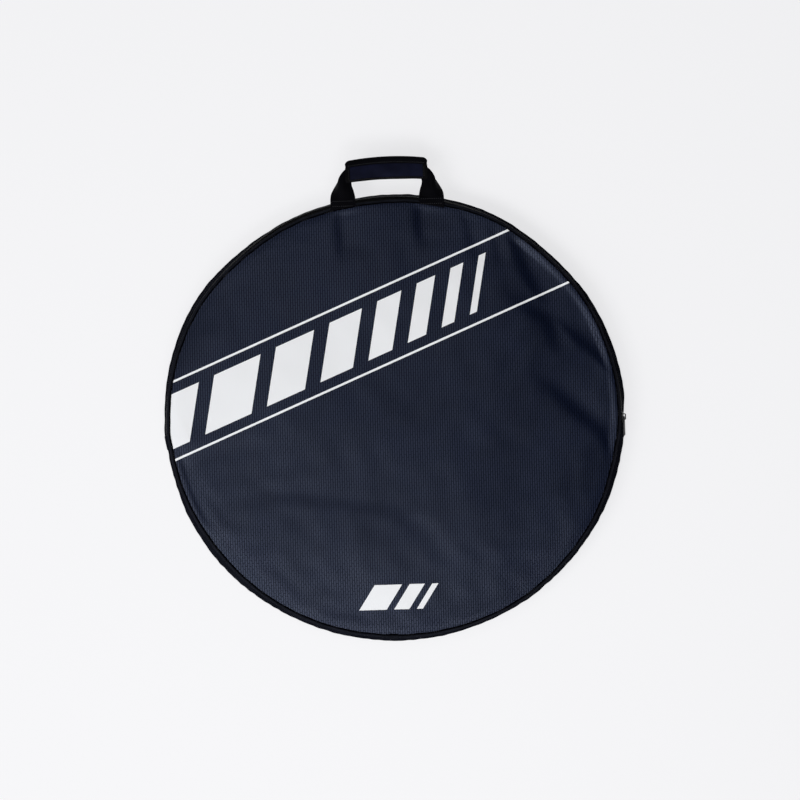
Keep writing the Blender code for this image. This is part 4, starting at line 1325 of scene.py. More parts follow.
def disc(name, radius, points=RIM_POINTS):
    """A round sheet of even, square faces."""
    bpy.ops.object.select_all(action="DESELECT")
    bpy.ops.mesh.primitive_circle_add(vertices=points, radius=radius, fill_type="NOTHING")
    piece = bpy.context.object
    piece.name = name
    pick_all(piece)
    bpy.ops.mesh.fill_grid(span=points // 4)
    leave()
    places = places_of(piece)
    pick(piece, np.hypot(places[:, 0], places[:, 1]) < radius - 0.001)
    bpy.ops.mesh.vertices_smooth(factor=0.5, repeat=GRID_SMOOTHING)
    leave()
    return piece


def thicken_down(piece, depth):
    """Close a face with a back: depth gives the thickness at each point's radius.

    Where the face has risen or sunk by itself, the back stays where it was.
    """
    count = len(piece.data.vertices)
    pick_all(piece)
    bpy.ops.mesh.extrude_region_move(TRANSFORM_OT_translate={"value": (0, 0, -0.001)})
    leave()
    places = places_of(piece)
    risen = np.zeros(len(places))
    if "risen" in piece.data.attributes:
        piece.data.attributes["risen"].data.foreach_get("value", risen)
    places[:, 2] -= np.where(np.arange(len(places)) < count, 0, risen)
    places[count:, 2] += 0.001 - depth(np.hypot(places[count:, 0], places[count:, 1]))
    set_places(piece, places)
    outwards(piece)


def panel_depth(radius):
    """Cloth and foam inside the seam, and cloth alone in the seam."""
    return SEAM_THICKNESS + FRONT_FOAM * ease((FOAM_EDGE - radius) / FOAM_TAPER)


def subdivide(piece):
    modify(piece, "finer", "SUBSURF", levels=1, render_levels=1)
    apply_all(piece)


def relax(piece, held):
    """Let the cloth settle by itself, slightly too large for what holds it."""
    before = places_of(piece)
    group = piece.vertex_groups.new(name="held")
    for weight in np.unique(held):
        group.add(np.flatnonzero(held == weight).tolist(), float(weight), "REPLACE")
    cloth = piece.modifiers.new("cloth", "CLOTH")
    for key, value in CLOTH_SETTINGS.items():
        setattr(cloth.settings, key, value)
    cloth.settings.effector_weights.gravity = 0
    for frame in range(1, SETTLE_FRAMES + 1):
        bpy.context.scene.frame_set(frame)
    apply_all(piece)
    bpy.context.scene.frame_set(1)
    moved = FACE_GIVE * (places_of(piece) - before)
    set_places(piece, before + moved)
    print(piece.name, "settled by up to", round(1000 * float(np.abs(moved).max()), 2), "mm")


def make_front_panel():
    piece = disc("front_panel", FRONT_CUT)
    places = places_of(piece)
    places[:, 2] = face_height(places[:, 0], places[:, 1])
    set_places(piece, places)
    lay_flat_uv(piece)
    seam = np.hypot(places[:, 0], places[:, 1]) > FACE_HELD
    level = places[:, 2].copy()
    relax(piece, np.where(seam, 1.0, FOAM_GRIP))
    risen = piece.data.attributes.new("risen", "FLOAT", "POINT")
    risen.data.foreach_set("value", places_of(piece)[:, 2] - level)
    subdivide(piece)
    thicken_down(piece, panel_depth)
    settle(piece)
    lay_flat_uv(piece)
    dress(piece, PRINTED_NYLON)
    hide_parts("front_panel_shell", "front_panel_foam", "flap_shell", "flap_foam")
    fold_with_flap(piece)


make_front_panel()

# %% [markdown]
# Under the foam lies a thin grey lining, caught in the same seam. It follows the creases of the
# face above it, and its grid is as fine as the panel's.
# The rear panel is made like the front one, but it is plain, and flat where the bag rests on
# it; only its edge turns up to the seam.

# %% Lining of the flap, and the rear panel
LINING_RADIUS = 0.3513
LINING_DEPTH = 0.0068
LINING = 0.0007
REAR_FLAT = SEAM_RADIUS - 0.010
REAR_LIFT = 0.0020
REAR_FOAM = 0.0062
REAR_SEAM = 0.3565
REAR_POINTS = 320
REAR_LINING_POINTS = 240
LINING_WAVE = 0.0007


def lining_depth(radius):
    return np.full_like(radius, LINING)


def make_front_lining():
    piece = disc("front_lining", LINING_RADIUS)
    places = places_of(piece)
    x, y = places[:, 0], places[:, 1]
    radius = np.hypot(x, y)
    dome = SEAM_HEIGHT + CROWN * (1 - (radius / PANEL_RADIUS) ** 2)
    slack = ease((LINING_RADIUS - radius) / 0.05) * 0.00030 * undulation(x, y, 55, 0.09)
    shared = face_height(x, y) - dome
    sag = np.minimum(shared, 0) - 0.0002
    places[:, 2] = dome - LINING_DEPTH + sag + np.minimum(slack, 0.0001)
    set_places(piece, places)
    subdivide(piece)
    thicken_down(piece, lining_depth)
    settle(piece)
    lay_flat_uv(piece)
    dress(piece, TAFFETA)
    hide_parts("front_panel_lining", "flap_lining")
    fold_with_flap(piece)


def rear_face(radius):
    return REAR_LIFT * ease((radius - REAR_FLAT) / (REAR_SEAM - REAR_FLAT))


def make_rear_panel():
    piece = disc("rear_panel", REAR_CUT, REAR_POINTS)
    places = places_of(piece)
    x, y = places[:, 0], places[:, 1]
    radius = np.hypot(x, y)
    foam = REAR_FOAM * ease((FOAM_EDGE - radius) / FOAM_TAPER)
    wave = ease((0.34 - radius) / 0.03) * 0.0002 * undulation(x, y, 57, 0.11)
    places[:, 2] = rear_face(radius) + SEAM_THICKNESS + foam - np.maximum(wave, 0)
    set_places(piece, places)
    count = len(places)
    pick_all(piece)
    bpy.ops.mesh.extrude_region_move(TRANSFORM_OT_translate={"value": (0, 0, -0.001)})
    leave()
    places = places_of(piece)
    places[count:, 2] = rear_face(np.hypot(places[count:, 0], places[count:, 1]))
    set_places(piece, places)
    outwards(piece)
    settle(piece)
    lay_flat_uv(piece)
    dress(piece, DOBBY_NYLON)
    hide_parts("rear_panel_shell", "rear_panel_foam")
    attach(piece, "root")


def make_rear_lining():
    piece = disc("rear_lining", LINING_HIGH.x, REAR_LINING_POINTS)
    places = places_of(piece)
    x, y = places[:, 0], places[:, 1]
    radius = np.hypot(x, y)
    calm = ease((LINING_HIGH.x - radius) / 0.05) * ease((radius - 0.07) / 0.03)
    wave = np.maximum(undulation(x, y, 58, 0.08), 0)
    places[:, 2] = LINING_HIGH.z + calm * LINING_WAVE * wave
    set_places(piece, places)
    thicken_down(piece, lining_depth)
    settle(piece)
    lay_flat_uv(piece)
    dress(piece, TAFFETA)
    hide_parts("rear_panel_lining")
    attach(piece, "root")


make_front_lining()
make_rear_panel()
make_rear_lining()

# %% [markdown]
# A moulded disc guards each panel where the axle ends press. It has a rounded rim, a groove that
# takes the stitches which hold it, three low ribs, and a slight dish in its middle. A turned
# section again gives all of them.

# %% Hub guards
GUARD_RIBS = (0.020, 0.034, 0.048)
GUARD_THICKNESS = 0.0011
GUARD_RIM = 0.0012
RIB_HEIGHT = 0.0004
STITCH_GROOVE = 0.0005
DISH_DEPTH = 0.0003


def guard_section(thickness, up):
    """Section from the middle of the inner face to the middle of the outer one."""
    edge = GUARD_HIGH.x
    steps = [np.linspace(0, edge - GUARD_RIM, 40)]
    steps += [np.array((rib - 0.002, rib, rib + 0.002)) for rib in GUARD_RIBS]
    radii = np.unique(np.concatenate(steps))
    face = np.full(len(radii), thickness)
    for rib in GUARD_RIBS:
        face += RIB_HEIGHT * np.exp(-(((radii - rib) / 0.0012) ** 2))
    face -= STITCH_GROOVE * np.exp(-(((radii - edge + 0.0055) / 0.0009) ** 2))
    face -= DISH_DEPTH * np.exp(-((radii / 0.010) ** 2))
    rim = [(edge - 0.0004, thickness - 0.0002), (edge, thickness / 2), (edge - 0.0004, 0.0002)]
    back = [(edge - GUARD_RIM, 0.0), (0.0, 0.0)]
    section = list(zip(radii, face)) + rim + back
    return [(radius, height if up else -height) for radius, height in section]


def make_guard(name, base, up, node):
    section = [(radius, base + height) for radius, height in guard_section(GUARD_THICKNESS, up)]
    piece = ring(name, section, steps=96, closed=False)
    outwards(piece)
    draw_in(piece)
    dress(piece, GUARD_PLASTIC)
    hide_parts(node)
    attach(piece, "root")


make_guard("front_guard", GUARD_HIGH.z - 0.0001, False, "front_hub_guard")
make_guard("rear_guard", REAR_GUARD_LOW.z + 0.0001, True, "rear_hub_guard")

# %% [markdown]
# The slider and its pull keep the frame's shapes, which are right but sharp. A copy of each is
# merged into one skin, its flat faces are joined, and a bevel gives every edge the small
# radius of a casting.

# %% Slider and pull
CASTING_RADIUS = 0.00022


def make_casting(name, node, body):
    source = bpy.data.objects[node]
    piece = bpy.data.objects.new(name, source.data.copy())
    bpy.context.scene.collection.objects.link(piece)
    pick_all(piece)
    bpy.ops.mesh.remove_doubles(threshold=0.00002)
    bpy.ops.mesh.dissolve_limited(angle_limit=math.radians(1.5))
    leave()
    round_rim(piece, CASTING_RADIUS)
    piece.data.materials.clear()
    piece.data.materials.append(ZINC_PAINT)
    bpy.ops.object.shade_smooth_by_angle(angle=math.radians(35))
    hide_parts(node)
    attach(piece, body)
    print(name, len(piece.data.polygons), "faces")


make_casting("slider_casting", "zip_slider", "slider")
make_casting("pull_casting", "zip_pull", "pull")

# %% [markdown]
# The handle is one length of 40 mm webbing. Its two ends are sewn flat on the front seam. From
# there each half folds lengthwise, its outer edge turning down and under, until it is 20 mm wide
# and runs through the padded grip. So the tape is modelled flat, at its true length and width,
# and every point of it is then carried to where the fold puts it: the section's heading turns
# by half a turn in all, over a wide stretch while the fold is open and over a tight one where it
# is shut. Only the right half is made, and a mirror gives the other.

# %% Webbing of the handle
BAND_LOW, BAND_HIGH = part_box("grip_band")
STRAP_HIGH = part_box("handle_webbing")[1]
GRIP_HALF = BAND_HIGH.x
GRIP_Y = BAND_HIGH.y - 0.0186
GRIP_Z = BAND_LOW.z + 0.0025
STRAP_X = STRAP_HIGH.x - 0.020
STRAP_Z = STRAP_HIGH.z - 0.00125
WEBBING_WIDTH = 0.040
WEBBING = 0.0021
FOLD_RADIUS = 0.0014
FOLD_POINTS = 161
STRAP_ROWS = 110
STRAP_COLUMNS = 24
STRAP_STATIONS = (
    (0.350, 1.00), (0.360, 1.00), (0.366, 0.965), (0.372, 0.89), (0.378, 0.78),
    (0.384, 0.65), (0.390, 0.54), (0.396, 0.50),
)
GRIP_ARCH = 0.0050
GRIP_TILT = 0.0011
STRAP_ROUTE = (
    (STRAP_X, 0.3465, 0.0),
    (STRAP_X, STRAP_FOLD_Y + 0.010, 0.0),
    (STRAP_X - 0.0006, 0.371, 0.10),
    (STRAP_X - 0.0028, 0.386, 0.62),
    (STRAP_X - 0.0080, 0.399, 1.0),
    (STRAP_X - 0.0185, 0.4065, 1.0),
    (STRAP_X - 0.0330, GRIP_Y, 1.0),
    (0.0, GRIP_Y, 1.0),
)


def smooth_route(points, count):
    """A Catmull-Rom curve through the points, in even steps."""
    points = np.array(points)
    padded = np.vstack((2 * points[0] - points[1], points, 2 * points[-1] - points[-2]))
    laid = []
    for index in range(1, len(padded) - 2):
        a, b, c, d = padded[index - 1:index + 3]
        for share in np.linspace(0, 1, 24, endpoint=False):
            bend = 2 * b + (c - a) * share + (2 * a - 5 * b + 4 * c - d) * share ** 2
            laid.append((bend + (3 * b - a - 3 * c + d) * share ** 3) / 2)
    laid = np.vstack((laid, points[-1]))
    travel = np.concatenate(((0,), np.cumsum(np.linalg.norm(np.diff(laid[:, :2], axis=0), axis=1))))
    even = np.linspace(0, travel[-1], count)
    route = [np.interp(even, travel, laid[:, axis]) for axis in range(3)]
    return np.column_stack(route), travel[-1]


def fold_section(across, fold):
    """Where the tape's points lie across the strap, when it is folded by that share."""
    spread = FOLD_RADIUS * math.pi / 2 + (1 - fold) * 0.013
    fine = np.linspace(-WEBBING_WIDTH / 2, WEBBING_WIDTH / 2, FOLD_POINTS)
    turned = ease((fine + spread) / (2 * spread))
    heading = (1 - fold) * fold * math.pi / 2 - fold * math.pi * turned
    step = fine[1] - fine[0]
    outward = np.cumsum(np.cos(heading)) * step
    upward = np.cumsum(np.sin(heading)) * step
    outward -= (outward.max() + outward.min()) / 2
    middle = upward[FOLD_POINTS // 2]
    upward -= middle * (1 - fold) + (upward[0] + upward[-1]) / 2 * fold
    return np.interp(across, fine, outward), np.interp(across, fine, upward)


def arched(places):
    """The grip bows away from the bag in its middle, its outer edge more than its inner one."""
    share = places[:, 0] / GRIP_HALF
    weight = ease((places[:, 1] - 0.358) / 0.032)
    bow = GRIP_ARCH * (0.62 + 0.38 * ease((places[:, 1] - GRIP_Y + 0.012) / 0.026))
    kept = np.clip(np.abs(share), 0, 1.1)
    moved = places.copy()
    moved[:, 1] += weight * (GRIP_TILT * share - bow * kept ** 2)
    return moved


def fold_of_width(share):
    """How far the tape is folded where it is seen that wide, as a share of its full width."""
    folds = np.linspace(0, 1, 41)
    edges = np.linspace(-WEBBING_WIDTH / 2, WEBBING_WIDTH / 2, 61)
    widths = np.array([np.ptp(fold_section(edges, fold)[0]) for fold in folds])
    return np.interp(share * WEBBING_WIDTH, widths[::-1], folds[::-1])


def make_webbing():
    """Carry each point of the flat tape to its place on the folded, bent strap."""
    route, length = smooth_route(STRAP_ROUTE, STRAP_ROWS + 1)
    grid = (STRAP_ROWS, STRAP_COLUMNS)
    piece = flat_cloth("handle_strap", length, WEBBING_WIDTH, grid, WEBBING)
    flat = places_of(piece)
    laid = np.zeros_like(flat)
    along = np.rint((flat[:, 0] / length + 0.5) * STRAP_ROWS).astype(int)
    heading = np.gradient(route[:, :2], axis=0)
    heading /= np.linalg.norm(heading, axis=1)[:, None]
    stations = np.array(STRAP_STATIONS)
    for row in range(STRAP_ROWS + 1):
        chosen = along == row
        x, y, drop = route[row]
        fold = fold_of_width(np.interp(y, stations[:, 0], stations[:, 1]))
        outward, upward = fold_section(flat[chosen, 1], fold)
        side = (heading[row][1], -heading[row][0])
        laid[chosen, 0] = x + side[0] * outward
        laid[chosen, 1] = y + side[1] * outward
        laid[chosen, 2] = STRAP_Z - (STRAP_Z - GRIP_Z) * np.clip(drop, 0, 1) + upward
    seam = np.sqrt(PANEL_RADIUS ** 2 - np.clip(laid[:, 0], 0, 0.2) ** 2)
    slant = seam - math.sqrt(PANEL_RADIUS ** 2 - STRAP_X ** 2)
    laid[:, 1] += slant * (1 - ease((laid[:, 1] - 0.348) / 0.016))
    set_places(piece, laid)
    apply_all(piece)
    round_rim(piece, 0.0006)
    places = places_of(piece)
    places[np.abs(places[:, 0]) < 0.0012, 0] = 0.0
    set_places(piece, arched(places))
    modify(piece, "other_half", "MIRROR", merge_threshold=0.0003)
    apply_all(piece)
    outwards(piece)
    dress(piece, WEBBING_TAPE)
    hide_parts("handle_webbing")
    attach(piece, "handle")
    print("webbing from seam to seam:", round(2 * length, 3), "m")


make_webbing()

# %% [markdown]
# The grip wraps that webbing in foam and a navy cover. A firm black band is sewn over its outer
# edge, and a bound navy leaf folds back over the top and closes on hook-and-loop tape. All of
# it bows a little, as the hand has pulled it. The soft layers are tubes with a rounded
# rectangular section, and the flat ones are grids of cloth laid along a section.

# %% Grip
PAD_HALF_WIDTH = 0.0146
PAD_HALF_HEIGHT = 0.0057
COVER_HALF_WIDTH = 0.0163
COVER_HALF_HEIGHT = 0.0073
COVER_CLOTH = 0.0013


def grip_tube(name, half_length, half_width, half_height, solid):
    """A tube along X whose section is a rounded rectangle, soft towards its ends."""
    bpy.ops.object.select_all(action="DESELECT")
    fill = "TRIFAN" if solid else "NOTHING"
    bpy.ops.mesh.primitive_cylinder_add(
        vertices=48, radius=1, depth=2, end_fill_type=fill, rotation=(0, math.pi / 2, 0)
    )
    piece = bpy.context.object
    piece.name = name
    bpy.ops.object.transform_apply(location=True, rotation=True, scale=True)
    for cut in np.linspace(-1, 1, 41)[1:-1]:
        pick_all(piece)
        bpy.ops.mesh.bisect(plane_co=(cut, 0, 0), plane_no=(1, 0, 0))
        leave()
    places = places_of(piece)
    turn = np.arctan2(places[:, 2], places[:, 1])
    reach = np.hypot(places[:, 1], places[:, 2])
    square = (np.abs(np.cos(turn)) ** 4 + np.abs(np.sin(turn)) ** 4) ** -0.25
    crown = 1 - 0.10 * np.abs(places[:, 0]) ** 6 if solid else 1 - 0.03 * np.abs(places[:, 0]) ** 8
    lumps = 1 + 0.02 * np.sin(places[:, 0] * 9 + 1) * np.sin(turn * 2)
    places[:, 1] = GRIP_Y + half_width * np.cos(turn) * square * reach * crown * lumps
    places[:, 2] = GRIP_Z + half_height * np.sin(turn) * square * reach * crown * lumps
    write_uv(piece, places[:, 0] * half_length, turn * half_width, None, math.tau * half_width)
    places[:, 0] *= half_length
    set_places(piece, arched(places))
    return piece


def make_grip_foam():
    piece = grip_tube("grip_padding", 0.0500, PAD_HALF_WIDTH, PAD_HALF_HEIGHT, True)
    outwards(piece)
    dress(piece, FOAM)
    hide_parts("grip_foam")
    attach(piece, "handle")


def make_grip_cover():
    piece = grip_tube("grip_wrap", 0.0520, COVER_HALF_WIDTH, COVER_HALF_HEIGHT, False)
    outwards(piece)
    modify(piece, "thickness", "SOLIDIFY", thickness=COVER_CLOTH, offset=-1)
    apply_all(piece)
    dress(piece, GRIP_NYLON)
    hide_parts("grip_cover")
    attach(piece, "handle")


make_grip_foam()
make_grip_cover()

# %% [markdown]
# The band is a strip of webbing whose section hooks over the grip's outer edge. The leaf is a
# padded strip with a crown; its binding is a frame of the same outline with a window, thick
# enough to hold the leaf's edge between its legs. The leaf turns on the band's edge; its pieces
# are baked in place where they lie.

# %% Band, leaf and closure
BAND_SECTION = (
    (0.0063, 0.0106),
    (0.0086, 0.0113),
    (0.0120, 0.0114),
    (0.0148, 0.0107),
    (0.0167, 0.0087),
    (0.0174, 0.0058),
    (0.0174, 0.0020),
    (0.0170, -0.0022),
)
BAND_THICKNESS = 0.0022
BAND_CORNER = 0.0070
LEAF_CORNER = 0.004
LEAF_CLOTH = 0.0018
LEAF_FRAME = 0.0034
LEAF_WINDOW = (0.0078, 0.0036)
LEAF_LOW, LEAF_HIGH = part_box("grip_leaf_binding")
LEAF_MIDDLE = (LEAF_LOW.z + LEAF_HIGH.z) / 2
LEAF_CENTRE = (LEAF_LOW.y + LEAF_HIGH.y) / 2
LEAF_WIDTH = LEAF_HIGH.y - LEAF_LOW.y


def on_section(piece, section):
    """Lay the flat piece's width along a section in (y, z), from the grip's middle."""
    line = np.array(section)
    travel = np.concatenate(((0,), np.cumsum(np.linalg.norm(np.diff(line, axis=0), axis=1))))
    places = places_of(piece)
    share = (places[:, 1] - places[:, 1].min()) / np.ptp(places[:, 1]) * travel[-1]
    laid = places.copy()
    laid[:, 1] = GRIP_Y + np.interp(share, travel, line[:, 0])
    laid[:, 2] = GRIP_Z + np.interp(share, travel, line[:, 1])
    set_places(piece, laid)


def make_band():
    line = np.array(BAND_SECTION)
    width = np.linalg.norm(np.diff(line, axis=0), axis=1).sum()
    piece = flat_cloth("grip_edge_band", 2 * GRIP_HALF - 0.001, width, (140, 22), BAND_THICKNESS)
    on_section(piece, BAND_SECTION)
    places = places_of(piece)
    ends = np.clip((np.abs(places[:, 0]) - GRIP_HALF + BAND_CORNER) / BAND_CORNER, 0, 0.98)
    drop = BAND_CORNER * (1 - np.sqrt(1 - ends ** 2))
    inner = GRIP_Y + line[0, 0]
    places[:, 1] = inner + (places[:, 1] - inner) * (1 - drop / np.ptp(line[:, 0]))
    places[:, 2] -= 0.0012 * ends ** 2
    set_places(piece, arched(places))
    apply_all(piece)
    round_rim(piece, 0.0008)
    outwards(piece)
    dress(piece, WEBBING_TAPE)
    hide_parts("grip_band")
    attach(piece, "handle")


def leaf_height(places):
    """Crown of the leaf: highest along its middle, low at its bound edge."""
    across = (places[:, 1] - LEAF_CENTRE) / LEAF_WIDTH * 2
    along = np.clip(np.abs(places[:, 0]) / GRIP_HALF, 0, 1)
    ripple = 0.00025 * undulation(places[:, 0], places[:, 1], 61, 0.022)
    crown = 0.0006 * (1 - across ** 2) * (1 - along ** 4)
    return crown - 0.0007 * np.clip(-across, 0, 1) ** 3 + ripple


def make_leaf():
    piece = flat_cloth("grip_flap", 2 * GRIP_HALF - 0.003, LEAF_WIDTH, (80, 20), LEAF_CLOTH)
    places = places_of(piece)
    places[:, 1] += LEAF_CENTRE
    places[:, 2] = LEAF_MIDDLE + leaf_height(places)
    set_places(piece, arched(places))
    apply_all(piece)
    round_rim(piece, 0.0005)
    dress(piece, GRIP_NYLON)
    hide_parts("grip_leaf")
    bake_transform(piece)


def make_leaf_binding():
    piece = flat_cloth("grip_flap_binding", 2 * GRIP_HALF, LEAF_WIDTH, (88, 28), LEAF_FRAME)
    places = places_of(piece)
    between = np.abs(places[:, 0]) < GRIP_HALF - LEAF_WINDOW[0]
    pick(piece, between & (places[:, 1] > -LEAF_WIDTH / 2 + LEAF_WINDOW[1]))
    bpy.ops.mesh.delete(type="VERT")
    leave()
    places = places_of(piece)
    places[:, 1] += LEAF_CENTRE
    corner = np.hypot(
        np.maximum(np.abs(places[:, 0]) - GRIP_HALF + LEAF_CORNER, 0),
        np.maximum(LEAF_LOW.y + LEAF_CORNER - places[:, 1], 0),
    )
    pull = np.maximum(corner - LEAF_CORNER, 0)
    places[:, 0] -= np.sign(places[:, 0]) * pull * 0.7
    places[:, 1] += pull * 0.7
    places[:, 2] = LEAF_MIDDLE + leaf_height(places)
    set_places(piece, arched(places))
    apply_all(piece)
    round_rim(piece, 0.0010, 3)
    dress(piece, GRIP_TAPE)
    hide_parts("grip_leaf_binding")
    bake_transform(piece)


def make_strip(name, node, material, body):
    low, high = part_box(node)
    piece = flat_cloth(name, high.x - low.x, high.y - low.y, (60, 8), high.z - low.z)
    places = places_of(piece)
    places[:, 1] += (low.y + high.y) / 2
    places[:, 2] = (low.z + high.z) / 2
    set_places(piece, arched(places))
    apply_all(piece)
    round_rim(piece, 0.0002, 1)
    dress(piece, material)
    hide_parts(node)
    if body == "leaf":
        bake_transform(piece)
    else:
        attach(piece, body)


make_band()
make_leaf()
make_leaf_binding()
make_strip("hook_strip", "grip_hook_strip", HOOK_TAPE, "leaf")
make_strip("loop_strip", "grip_loop_strip", LOOP_TAPE, "handle")

# %% [markdown]
# Stitches hold it all together, and they are what the eye looks for on sewn goods. One stitch
# is a short length of thread whose ends dive into the cloth. It is repeated in a straight row
# at the machine's stitch length, and the row is laid round the rim or turned to its seam.

# %% Stitches
STITCH_PITCH = 0.0034
STITCH_LENGTH = 0.0025
THREAD = 0.00030
THREAD_LIFT = 0.0001
STRAP_ROW_HALF = 0.0175


def stitch_row(name, count):
    """A straight row of stitches along X, each with its ends bent down."""
    bpy.ops.object.select_all(action="DESELECT")
    bpy.ops.mesh.primitive_cylinder_add(
        vertices=6, radius=THREAD, depth=STITCH_LENGTH, rotation=(0, math.pi / 2, 0)
    )
    piece = bpy.context.object
    piece.name = name
    bpy.ops.object.transform_apply(location=True, rotation=True, scale=True)
    for cut in (-STITCH_LENGTH / 4, STITCH_LENGTH / 4):
        pick_all(piece)
        bpy.ops.mesh.bisect(plane_co=(cut, 0, 0), plane_no=(1, 0, 0))
        leave()
    places = places_of(piece)
    places[:, 2] -= 0.0005 * (places[:, 0] / (STITCH_LENGTH / 2)) ** 4
    set_places(piece, places)
    repeat(piece, count, STITCH_PITCH)
    lay_flat_uv(piece)
    return piece


def round_stitches(name, radius, height, start, turn, up=1):
    """A row of stitches round the rim at that radius and height."""
    piece = stitch_row(name, int(turn * radius / STITCH_PITCH))
    lay_round(piece, start, radius, lambda y, z: np.column_stack((radius + y, height + up * z)))
    if up < 0:
        outwards(piece)
    settle(piece)
    return piece


def wall_stitches(name, across, out):
    """A row of stitches round the upper wall, at a distance from the zip."""
    length = ZIP_RADIUS * UPPER_TURN - 0.006
    piece = stitch_row(name, int(length / STITCH_PITCH))
    places = places_of(piece)
    places[:, 0] += 0.003
    set_places(piece, places)
    lay_round(piece, -SPLIT_ANGLE, ZIP_RADIUS, lambda y, z: zip_section(across + y, out + z))
    settle(piece)
    return piece


def straight_stitches(name, start, end):
    """A row of stitches from one point to another, lying face up."""
    start, end = Vector(start), Vector(end)
    run = end - start
    piece = stitch_row(name, max(int(run.length / STITCH_PITCH), 1))
    turn = Matrix.Rotation(math.atan2(run.y, run.x), 4, "Z")
    first = Matrix.Translation((STITCH_PITCH / 2, 0, 0))
    piece.data.transform(Matrix.Translation(start) @ turn @ first)
    return piece


def join(name, pieces):
    bpy.ops.object.select_all(action="DESELECT")
    for piece in pieces:
        piece.select_set(True)
    bpy.context.view_layer.objects.active = pieces[0]
    bpy.ops.object.join()
    pieces[0].name = name
    return pieces[0]


def sew(piece, body):
    """Give a row its thread; it moves with that body, or, at a fold, is baked in place."""
    dress(piece, BLACK_THREAD)
    if body == "flap fold":
        fold_with_flap(piece)
    elif body == "leaf fold":
        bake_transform(piece)
    else:
        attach(piece, body)


def sew_rim():
    row_radius = PANEL_RADIUS + STITCH_INSET
    dip = FRONT_TOP - STITCH_DIP + THREAD_LIFT
    row = round_stitches("front_binding_stitches", row_radius, dip, 0, math.tau)
    sew(row, "flap fold")
    low = REAR_BINDING_LOW.z + THREAD_LIFT
    sew(round_stitches("rear_binding_stitches", row_radius, low, 0, math.tau, -1), "root")
    face = WALL_INSET + WALL_CLOTH
    sew(wall_stitches("wall_edge_stitches", WALL_TOP - 0.0016, face), "root")


def sew_handle():
    rows = []
    height = STRAP_Z + WEBBING / 2 + THREAD_LIFT
    for side in (-1, 1):
        low = side * STRAP_X - STRAP_ROW_HALF
        high = side * STRAP_X + STRAP_ROW_HALF
        for y in (STRAP_FOLD_Y - 0.0005, STRAP_FOLD_Y + 0.0075):
            rows.append(straight_stitches("row", (low, y, height), (high, y, height)))
    sew(join("strap_stitches", rows), "handle")
    height = LEAF_MIDDLE + 0.0017
    near = LEAF_LOW.y + 0.0022
    far = LEAF_HIGH.y - 0.0015
    inset = GRIP_HALF - 0.0055
    rows = [straight_stitches("row", (-inset, near, height), (inset, near, height))]
    for x in (-inset, inset):
        rows.append(straight_stitches("row", (x, near + 0.002, height), (x, far, height)))
    piece = join("leaf_stitches", rows)
    places = places_of(piece)
    places[:, 2] += leaf_height(places)
    set_places(piece, arched(places))
    sew(piece, "leaf fold")
    height = GRIP_Z + BAND_SECTION[1][1] + BAND_THICKNESS / 2 + THREAD_LIFT
    y = GRIP_Y + BAND_SECTION[1][0]
    end = GRIP_HALF - 0.004
    piece = straight_stitches("band_stitches", (-end, y, height), (end, y, height))
    set_places(piece, arched(places_of(piece)))
    sew(piece, "handle")


sew_rim()
sew_handle()

# %% [markdown]
# The floor is nearly white paper. Part of its white is a glow that only the camera and
# reflections see, so that it doesn't light the bag from below. A large soft box at the lower
# left throws a faint soft shadow to the upper right. A low box beyond the bag's foot and a
# small one above its head give the coated cloth its sheen. The room's haze is brightest towards
# the lower left, so a crease that turns away from there shows dark: the levels are given by the
# cosine between a direction and the haze's heading.

# %% Floor and light
FLOOR_SIZE = 60.0
PAPER_GLOW = 0.735
PAPER_WHITE = "F4F4F6"
GLOW_WHITE = "FDFDFF"
BOXES = (
    ("key_box", (-1.7, -0.9, 3.2), (1.3, 1.3), 39),
    ("sheen_box", (-0.05, -1.20, 2.4), (1.2, 0.7), 20),
    ("upper_box", (-0.20, 0.80, 3.0), (1.0, 1.0), 9),
)
HAZE_HEADING = (-0.55, -0.60, 0.58)
HAZE_LEVELS = ((0.0, 0.05), (0.25, 0.05), (0.50, 0.11), (0.65, 0.21), (0.85, 0.56), (1.0, 0.74))


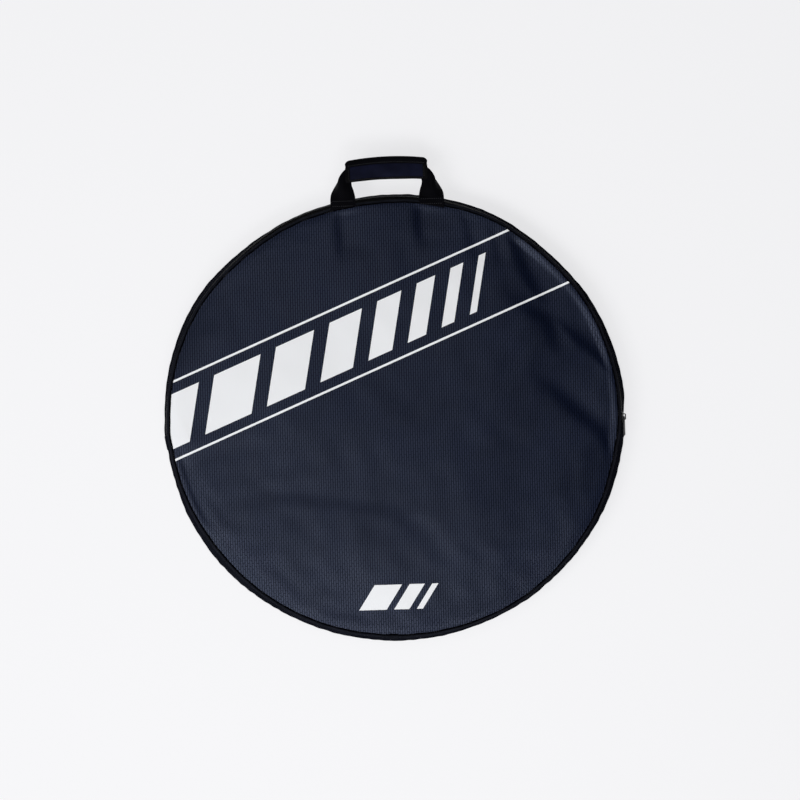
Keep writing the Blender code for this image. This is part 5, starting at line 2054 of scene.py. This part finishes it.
def make_floor():
    bpy.ops.object.select_all(action="DESELECT")
    bpy.ops.mesh.primitive_plane_add(size=FLOOR_SIZE)
    floor = bpy.context.object
    floor.name = "studio_floor"
    made, tree, shader = new_material("white_paper", Roughness=0.9, Specular_IOR_Level=0.1)
    shader.inputs["Base Color"].default_value = colour(PAPER_WHITE)
    path = add_node(tree, "LightPath")
    seen = path.outputs["Is Camera Ray"]
    for kind in ("Is Glossy Ray", "Is Transmission Ray"):
        seen = compute(tree, "MAXIMUM", seen, path.outputs[kind])
    share = compute(tree, "MULTIPLY", seen, PAPER_GLOW)
    glow = add_node(tree, "Emission", {"Color": colour(GLOW_WHITE), "Strength": 1.0})
    inputs = {0: share, 1: shader.outputs[0], 2: glow.outputs[0]}
    mixed = add_node(tree, "MixShader", inputs)
    tree.links.new(mixed.outputs[0], tree.nodes["Material Output"].inputs["Surface"])
    floor.data.materials.append(made)


def add_softbox(name, place, size, watts):
    bpy.ops.object.light_add(type="AREA", location=place)
    lamp = bpy.context.object
    lamp.name = name
    lamp.rotation_euler = (-Vector(place)).to_track_quat("-Z", "Y").to_euler()
    lamp.data.shape = "RECTANGLE"
    lamp.data.size = size[0]
    lamp.data.size_y = size[1]
    lamp.data.energy = watts


def light_studio():
    for values in BOXES:
        add_softbox(*values)
    world = bpy.data.worlds.new("studio")
    bpy.context.scene.world = world
    world.use_nodes = True
    tree = world.node_tree
    heading = add_node(tree, "TexCoord").outputs["Generated"]
    inputs = {0: heading, 1: HAZE_HEADING}
    facing = add_node(tree, "VectorMath", inputs, operation="DOT_PRODUCT")
    ramp = add_node(tree, "ValToRGB", {"Fac": facing.outputs["Value"]})
    ramp.color_ramp.elements.remove(ramp.color_ramp.elements[1])
    ramp.color_ramp.elements[0].color = (*3 * (HAZE_LEVELS[0][1],), 1)
    for share, level in HAZE_LEVELS[1:]:
        ramp.color_ramp.elements.new(share).color = (level, level, level, 1)
    tree.links.new(ramp.outputs["Color"], tree.nodes["Background"].inputs["Color"])
    bpy.context.scene.view_settings.view_transform = "Standard"


make_floor()
light_studio()
